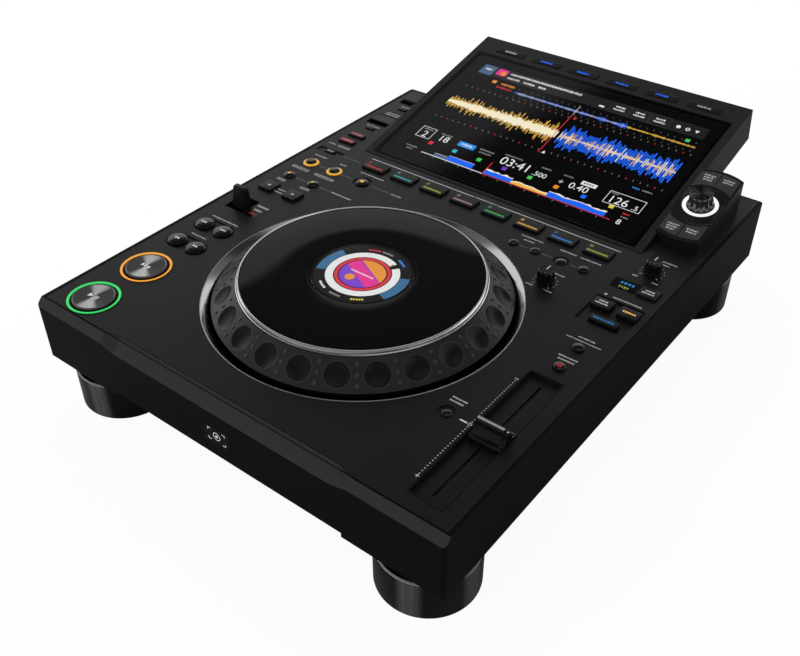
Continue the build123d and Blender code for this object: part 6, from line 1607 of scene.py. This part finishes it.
def build_numbers():
    """The display's numbers."""
    rows = (("2", -94.9, 34.6, 7.4, "number_deck"), ("18", -79.2, 36.0, 7.2, "number_track"),
            ("03:41", -19.0, 34.6, 9.0, "number_time"), (".500", 11.0, 34.6, 5.2, "number_parts"),
            ("0.40", 42.8, 34.4, 6.8, "number_tempo"), ("126", 75.4, 34.2, 8.0, "number_beats"),
            (".5", 95.4, 34.2, 5.0, "number_beat_parts"), ("8", 92.4, 16.2, 5.4, "number_key"))
    for text, u, v, height, name in rows:
        digits(text, u, v, height, "lit white", name)


def overview(shape):
    """The whole track's small wave, its cue marks and its base lines."""
    base = 18.6
    cues = ((-81.2, "red"), (-57.7, "cyan"), (-34.3, "green"), (-10.7, "purple"), (12.3, "green"), (35.5, "orange"),
            (58.8, "blue"), (82.0, "yellow"))
    for u, colour in cues:
        shape.bar(u - 1.9, u + 1.9, 28.9, 32.7, colour)
    for i in range(158):
        u = -70.0 + i * 0.965
        if u < -34.0:
            height, colour, cap = (3.2, "slate", 0.3) if u < -58 else (5.6, "blue", 0.3)
        elif u < -23.0:
            continue
        else:
            height = 4.0 + 1.4 * wave_height(u, 2.2, 0.12)
            colour, cap = "blue", 0.6 + 1.6 * wave_height(u, 3.3, 0.3) ** 2
            if 2.0 < u < 34.0:
                height, colour = 1.5 + 3.2 * wave_height(u, 4.4, 0.1), "gold"
                cap = 1.0
        shape.bar(u - 0.48, u + 0.48, base, base + height, colour, thick=0.01)
        shape.bar(u - 0.48, u + 0.48, base + height, base + height + cap, "cream", thick=0.01)
    shape.bar(-81.4, -22.8, base - 0.9, base - 0.2, "white")
    shape.bar(-22.8, 87.6, base - 0.9, base - 0.3, "red")
    shape.bar(-23.1, -22.5, base - 2.0, 33.0, "red", 0.04)
    for i in range(14):
        shape.bar(-81.2 + i * 12.2, -80.8 + i * 12.2, base - 3.2, base - 1.6, "grey")
    shape.label(-98.2, -87.2, 20.6, "grey", 1.5)
    shape.label(-95.8, -90.0, 17.4, "grey", 1.5)
    shape.label(92.6, 98.4, 28.2, "red", 1.7)
    shape.label(93.0, 98.6, 24.4, "grey", 1.4)


def build_screen_keys():
    """Six flat keys over the glass, each with a lit legend."""
    half = node_middle("screen_housing")[1].x / 2
    shape = Shape(on_screen)
    pitch = 2 * (half - 33.75) / 5
    v = 163.8
    side = [(-1.0, -5.8), (-1.0, -4.3), (0.0, -4.3), (0.0, 0.2), (0.1, 0.4), (0.35, 0.5), (1.2, 0.46)]
    for i in range(6):
        u = (i - 2.5) * pitch
        shape.slab(u, v, 27.2, 6.4, 0.8, side)
        shape.words(u - 5.6, u + 5.6, v, 0.5, 1 if i in (0, 5) else 2, 2.0)
    finishes = ["key", "white ink", "lit blue"]
    shape.done("screen_key_caps", "screen_keys", finishes, ["screen_keys"], "key_plastic", 30)


# ---- Selector pod -----------------------------------------------------------------------------------------------

POD_U, POD_V, POD_W = 137.8, 57.2, 3.0


def build_pod():
    """The pod's gloss dish, its four keys' legends and the faceted selector knob."""
    dress("pod_keys_front", "pod key")
    dress("pod_keys_rear", "pod key")
    for node, side in (("pod_keys_front", -1), ("pod_keys_rear", 1)):
        marks = Shape(on_screen)
        for side_u in (-1, 1):
            u, v = POD_U + side_u * 7.2, POD_V + side * 29.0
            for row in range(3 if side_u < 0 else 2):
                marks.words(u - 4.2 + row * 0.5, u + 4.2 - row * 0.5, v + 2.4 - row * 2.6, POD_W + 0.31, 0, 1.6)
        marks.done(node + "_legends", node, ["white ink"])
    dish = Shape(on_screen)
    low, high = POD_U - 15.2, POD_U + 15.9
    profile = [(12.7, POD_W - 0.02), (14.0, POD_W + 0.02), (18.5, POD_W + 0.55), (21.4, POD_W + 0.8),
               (22.0, POD_W + 0.6), (22.2, POD_W - 0.02)]
    dish.rings([[(max(min(u, high), low), v, w) for u, v in circle(POD_U, POD_V, radius, 128)]
                for radius, w in softened(profile, 0.3, 3)], 0, False, False, True)
    dish.done("selector_dish", PLAYER, ["pod dish"], (), "", 50)
    build_selector()


def build_selector():
    """The selector knob: a waisted, faceted grip under a gloss top."""
    shape = Shape(on_screen)
    facets = 12
    rings = []
    for w, radius, depth in ((POD_W + 0.4, 9.1, 0.2), (POD_W + 1.0, 9.2, 1.3), (POD_W + 3.2, 8.9, 1.2),
                             (POD_W + 6.5, 8.3, 0.9), (POD_W + 9.4, 8.3, 0.9), (POD_W + 10.7, 8.3, 0.4),
                             (POD_W + 11.3, 7.9, 0.3)):
        ring = []
        for angle in turn_steps(facets * 6):
            part = (angle / (math.tau / facets)) % 1.0
            r = radius - depth * (1 - abs(part * 2 - 1)) ** 0.8
            ring.append((POD_U + r * math.cos(angle), POD_V + r * math.sin(angle), w))
        rings.append(ring)
    shape.rings(rings, close_end=False)
    verts = [(POD_U, POD_V, POD_W + 11.0)]
    for i, angle in enumerate(turn_steps(facets * 2)):
        lift = 11.5 if i % 2 else 11.1
        verts.append((POD_U + 7.8 * math.cos(angle), POD_V + 7.8 * math.sin(angle), POD_W + lift))
    shape.add(verts, [(0, 1 + i, 1 + (i + 1) % (facets * 2)) for i in range(facets * 2)], 1)
    shape.prism(circle(POD_U, POD_V, 3.0, 32), POD_W - 5.6, POD_W + 0.5)
    shape.done("selector_cap", "selector_knob", ["selector", "knob"], ["selector_knob"], "selector_metal", 12)


# ---- Rear -------------------------------------------------------------------------------------------------------


def build_sockets():
    """Bright collars and coloured inserts on the phono sockets, and a metal frame in the network socket."""
    rear = (CASE_HIGH.y - ORIGIN.y) / MM
    z, network_x = -26.0, 122.0
    shape = Shape(lambda point: on_deck((point[0], rear + point[2], point[1])))
    for x, slot in ((52.0, 1), (68.0, 2), (92.0, 3)):
        for inner, outer, low, high, ring_slot in ((4.2, 4.75, 0.2, 1.2, 0), (4.16, 4.45, 1.2, 8.8, 0),
                                                   (1.7, 3.7, 8.9, 9.05, slot)):
            shape.turned(x, z, [(inner, low), (outer, low), (outer, high), (inner, high)], ring_slot, 48, True)
    outer = rounded_box(network_x, z, 14.8, 12.4, 0.6)
    inner = rounded_box(network_x, z, 12.0, 8.0, 0.3)
    rings = [lifted(outline, w) for outline, w in ((outer, 0.05), (outer, 0.35), (inner, 0.35), (inner, -6.0))]
    shape.rings(rings, 0, False, False)
    finishes = ["socket metal", "phono red", "phono white", "phono orange"]
    shape.done("socket_trim", PLAYER, finishes, (), "", 35)


# ---- The add-on: settings, operators and panel --------------------------------------------------------------------


class PlayerFinish(bpy.types.PropertyGroup):
    """Colours and light of the player and its studio"""
    deck_colour: FloatVectorProperty(name="Deck colour", description="Base colour of the control deck",
                                     default=(0.006, 0.006, 0.0062), subtype="COLOR", size=3, min=0, max=1)
    room_light: FloatProperty(name="Room light", description="Even light of the studio", default=0.6, min=0)
    legend_height: FloatProperty(name="Legend height", description="Height of the printed legends, in mm",
                                 default=1.35, min=0.5)


class PlayerLights(bpy.types.PropertyGroup):
    """Colours of the lit rings"""
    play: FloatVectorProperty(name="Play", description="Colour of the play ring", default=(0.035, 0.66, 0.14),
                              subtype="COLOR", size=3, min=0, max=1)
    cue: FloatVectorProperty(name="Cue", description="Colour of the cue ring", default=(0.85, 0.34, 0.04),
                             subtype="COLOR", size=3, min=0, max=1)
    loop: FloatVectorProperty(name="Loop", description="Colour of the loop rings", default=(0.8, 0.42, 0.05),
                              subtype="COLOR", size=3, min=0, max=1)


class PlayerJog(bpy.types.PropertyGroup):
    """Sizes of the jog wheel's dimples, in millimetres"""
    dimple_count: IntProperty(name="Dimples", description="How many finger dimples", default=24, min=6)
    dimple_radius: FloatProperty(name="Dimple radius", description="Radius of a dimple, in mm", default=8.0, min=1)
    dimple_depth: FloatProperty(name="Dimple depth", description="Depth of a dimple, in mm", default=2.0, min=0.1)
    pip_radius: FloatProperty(name="Pip radius", description="Radius of the small pips, in mm", default=1.15, min=0.2)


class PlayerScreen(bpy.types.PropertyGroup):
    """The screen's slope and glass"""
    tilt: FloatProperty(name="Tilt", description="Slope of the screen", default=math.radians(12.84),
                        unit="ROTATION", subtype="ANGLE")
    glass_height: FloatProperty(name="Glass height", description="Height of the touch glass", default=0.155,
                                unit="LENGTH", subtype="DISTANCE")


class PLAYER_OT_stage(bpy.types.Operator):
    """Camera, floor, studio light and lamps"""
    bl_idname = "player.stage"
    bl_label = "Stage"

    def execute(self, context):
        build_stage()
        return {"FINISHED"}


class PLAYER_OT_case(bpy.types.Operator):
    """Finishes of the case, the deck and what is under it"""
    bl_idname = "player.case"
    bl_label = "Case"

    def execute(self, context):
        build_case()
        build_badge()
        return {"FINISHED"}


class PLAYER_OT_feet(bpy.types.Operator):
    """The four turned feet"""
    bl_idname = "player.feet"
    bl_label = "Feet"

    def execute(self, context):
        build_feet()
        return {"FINISHED"}


class PLAYER_OT_jog(bpy.types.Operator):
    """Bezel, wheel, rim, platter and dial"""
    bl_idname = "player.jog"
    bl_label = "Jog wheel"

    def execute(self, context):
        build_bezel()
        build_wheel()
        build_rim()
        build_platter()
        build_dial()
        return {"FINISHED"}


class PLAYER_OT_play(bpy.types.Operator):
    """The large caps and their light rings"""
    bl_idname = "player.play"
    bl_label = "Play and cue"

    def execute(self, context):
        build_play_keys()
        build_light_rings()
        return {"FINISHED"}


class PLAYER_OT_search(bpy.types.Operator):
    """The four polished domes"""
    bl_idname = "player.search"
    bl_label = "Search keys"

    def execute(self, context):
        build_search_keys()
        return {"FINISHED"}


class PLAYER_OT_lever(bpy.types.Operator):
    """The direction lever"""
    bl_idname = "player.lever"
    bl_label = "Lever"

    def execute(self, context):
        build_lever()
        return {"FINISHED"}


class PLAYER_OT_left_keys(bpy.types.Operator):
    """Jump, loop, reloop and side keys"""
    bl_idname = "player.left_keys"
    bl_label = "Left keys"

    def execute(self, context):
        build_left_keys()
        build_side_keys()
        return {"FINISHED"}


class PLAYER_OT_pads(bpy.types.Operator):
    """The eight pads"""
    bl_idname = "player.pads"
    bl_label = "Pads"

    def execute(self, context):
        build_pads()
        return {"FINISHED"}


class PLAYER_OT_small_keys(bpy.types.Operator):
    """The memory row and the tempo keys"""
    bl_idname = "player.small_keys"
    bl_label = "Small keys"

    def execute(self, context):
        build_memory_row()
        return {"FINISHED"}


class PLAYER_OT_knobs(bpy.types.Operator):
    """The two fluted knobs"""
    bl_idname = "player.knobs"
    bl_label = "Knobs"

    def execute(self, context):
        build_knobs()
        return {"FINISHED"}


class PLAYER_OT_right_keys(bpy.types.Operator):
    """Mode and sync keys"""
    bl_idname = "player.right_keys"
    bl_label = "Right keys"

    def execute(self, context):
        build_right_keys()
        return {"FINISHED"}


class PLAYER_OT_fader(bpy.types.Operator):
    """The tempo fader's cap"""
    bl_idname = "player.fader"
    bl_label = "Fader"

    def execute(self, context):
        build_fader()
        return {"FINISHED"}


class PLAYER_OT_legends(bpy.types.Operator):
    """Printed legends and dark windows"""
    bl_idname = "player.legends"
    bl_label = "Legends"

    def execute(self, context):
        build_legends()
        build_windows()
        return {"FINISHED"}


class PLAYER_OT_screen(bpy.types.Operator):
    """Glass, display and its keys"""
    bl_idname = "player.screen"
    bl_label = "Screen"

    def execute(self, context):
        build_screen()
        build_screen_keys()
        return {"FINISHED"}


class PLAYER_OT_picture(bpy.types.Operator):
    """What the display shows"""
    bl_idname = "player.picture"
    bl_label = "Picture"

    def execute(self, context):
        build_picture()
        build_numbers()
        return {"FINISHED"}


class PLAYER_OT_pod(bpy.types.Operator):
    """Pod keys, dish and selector"""
    bl_idname = "player.pod"
    bl_label = "Selector pod"

    def execute(self, context):
        build_pod()
        return {"FINISHED"}


class PLAYER_OT_sockets(bpy.types.Operator):
    """Trim of the rear sockets"""
    bl_idname = "player.sockets"
    bl_label = "Sockets"

    def execute(self, context):
        build_sockets()
        return {"FINISHED"}


OPERATORS = [PLAYER_OT_stage, PLAYER_OT_case, PLAYER_OT_feet, PLAYER_OT_jog, PLAYER_OT_play, PLAYER_OT_search,
             PLAYER_OT_lever, PLAYER_OT_left_keys, PLAYER_OT_pads, PLAYER_OT_small_keys, PLAYER_OT_knobs,
             PLAYER_OT_right_keys, PLAYER_OT_fader, PLAYER_OT_legends, PLAYER_OT_screen, PLAYER_OT_picture,
             PLAYER_OT_pod, PLAYER_OT_sockets]


class PLAYER_PT_build(bpy.types.Panel):
    """Lists the player's settings and pieces"""
    bl_idname = "PLAYER_PT_build"
    bl_label = "Media player"
    bl_space_type = "VIEW_3D"
    bl_region_type = "UI"
    bl_category = "Player"

    def draw(self, context):
        for owner, keys in ((context.scene.player_finish, ("deck_colour", "room_light", "legend_height")),
                            (context.scene.player_lights, ("play", "cue", "loop")),
                            (context.scene.player_jog, ("dimple_count", "dimple_radius", "dimple_depth", "pip_radius")),
                            (context.scene.player_screen, ("tilt", "glass_height"))):
            for key in keys:
                self.layout.prop(owner, key)
        for operator in OPERATORS:
            self.layout.operator(operator.bl_idname)


SETTINGS = {"player_finish": PlayerFinish, "player_lights": PlayerLights, "player_jog": PlayerJog,
            "player_screen": PlayerScreen}


def register():
    """Register the settings, the operators and the panel."""
    for kind in list(SETTINGS.values()) + OPERATORS + [PLAYER_PT_build]:
        bpy.utils.register_class(kind)
    for name, kind in SETTINGS.items():
        setattr(bpy.types.Scene, name, PointerProperty(type=kind))


def unregister():
    """Take everything out again."""
    for name in SETTINGS:
        delattr(bpy.types.Scene, name)
    for kind in reversed(list(SETTINGS.values()) + OPERATORS + [PLAYER_PT_build]):
        bpy.utils.unregister_class(kind)


def main():
    """Register the add-on and build every piece in order."""
    register()
    for operator in OPERATORS:
        getattr(bpy.ops.player, operator.bl_idname.split(".")[1])()


if __name__ == "__main__":
    main()
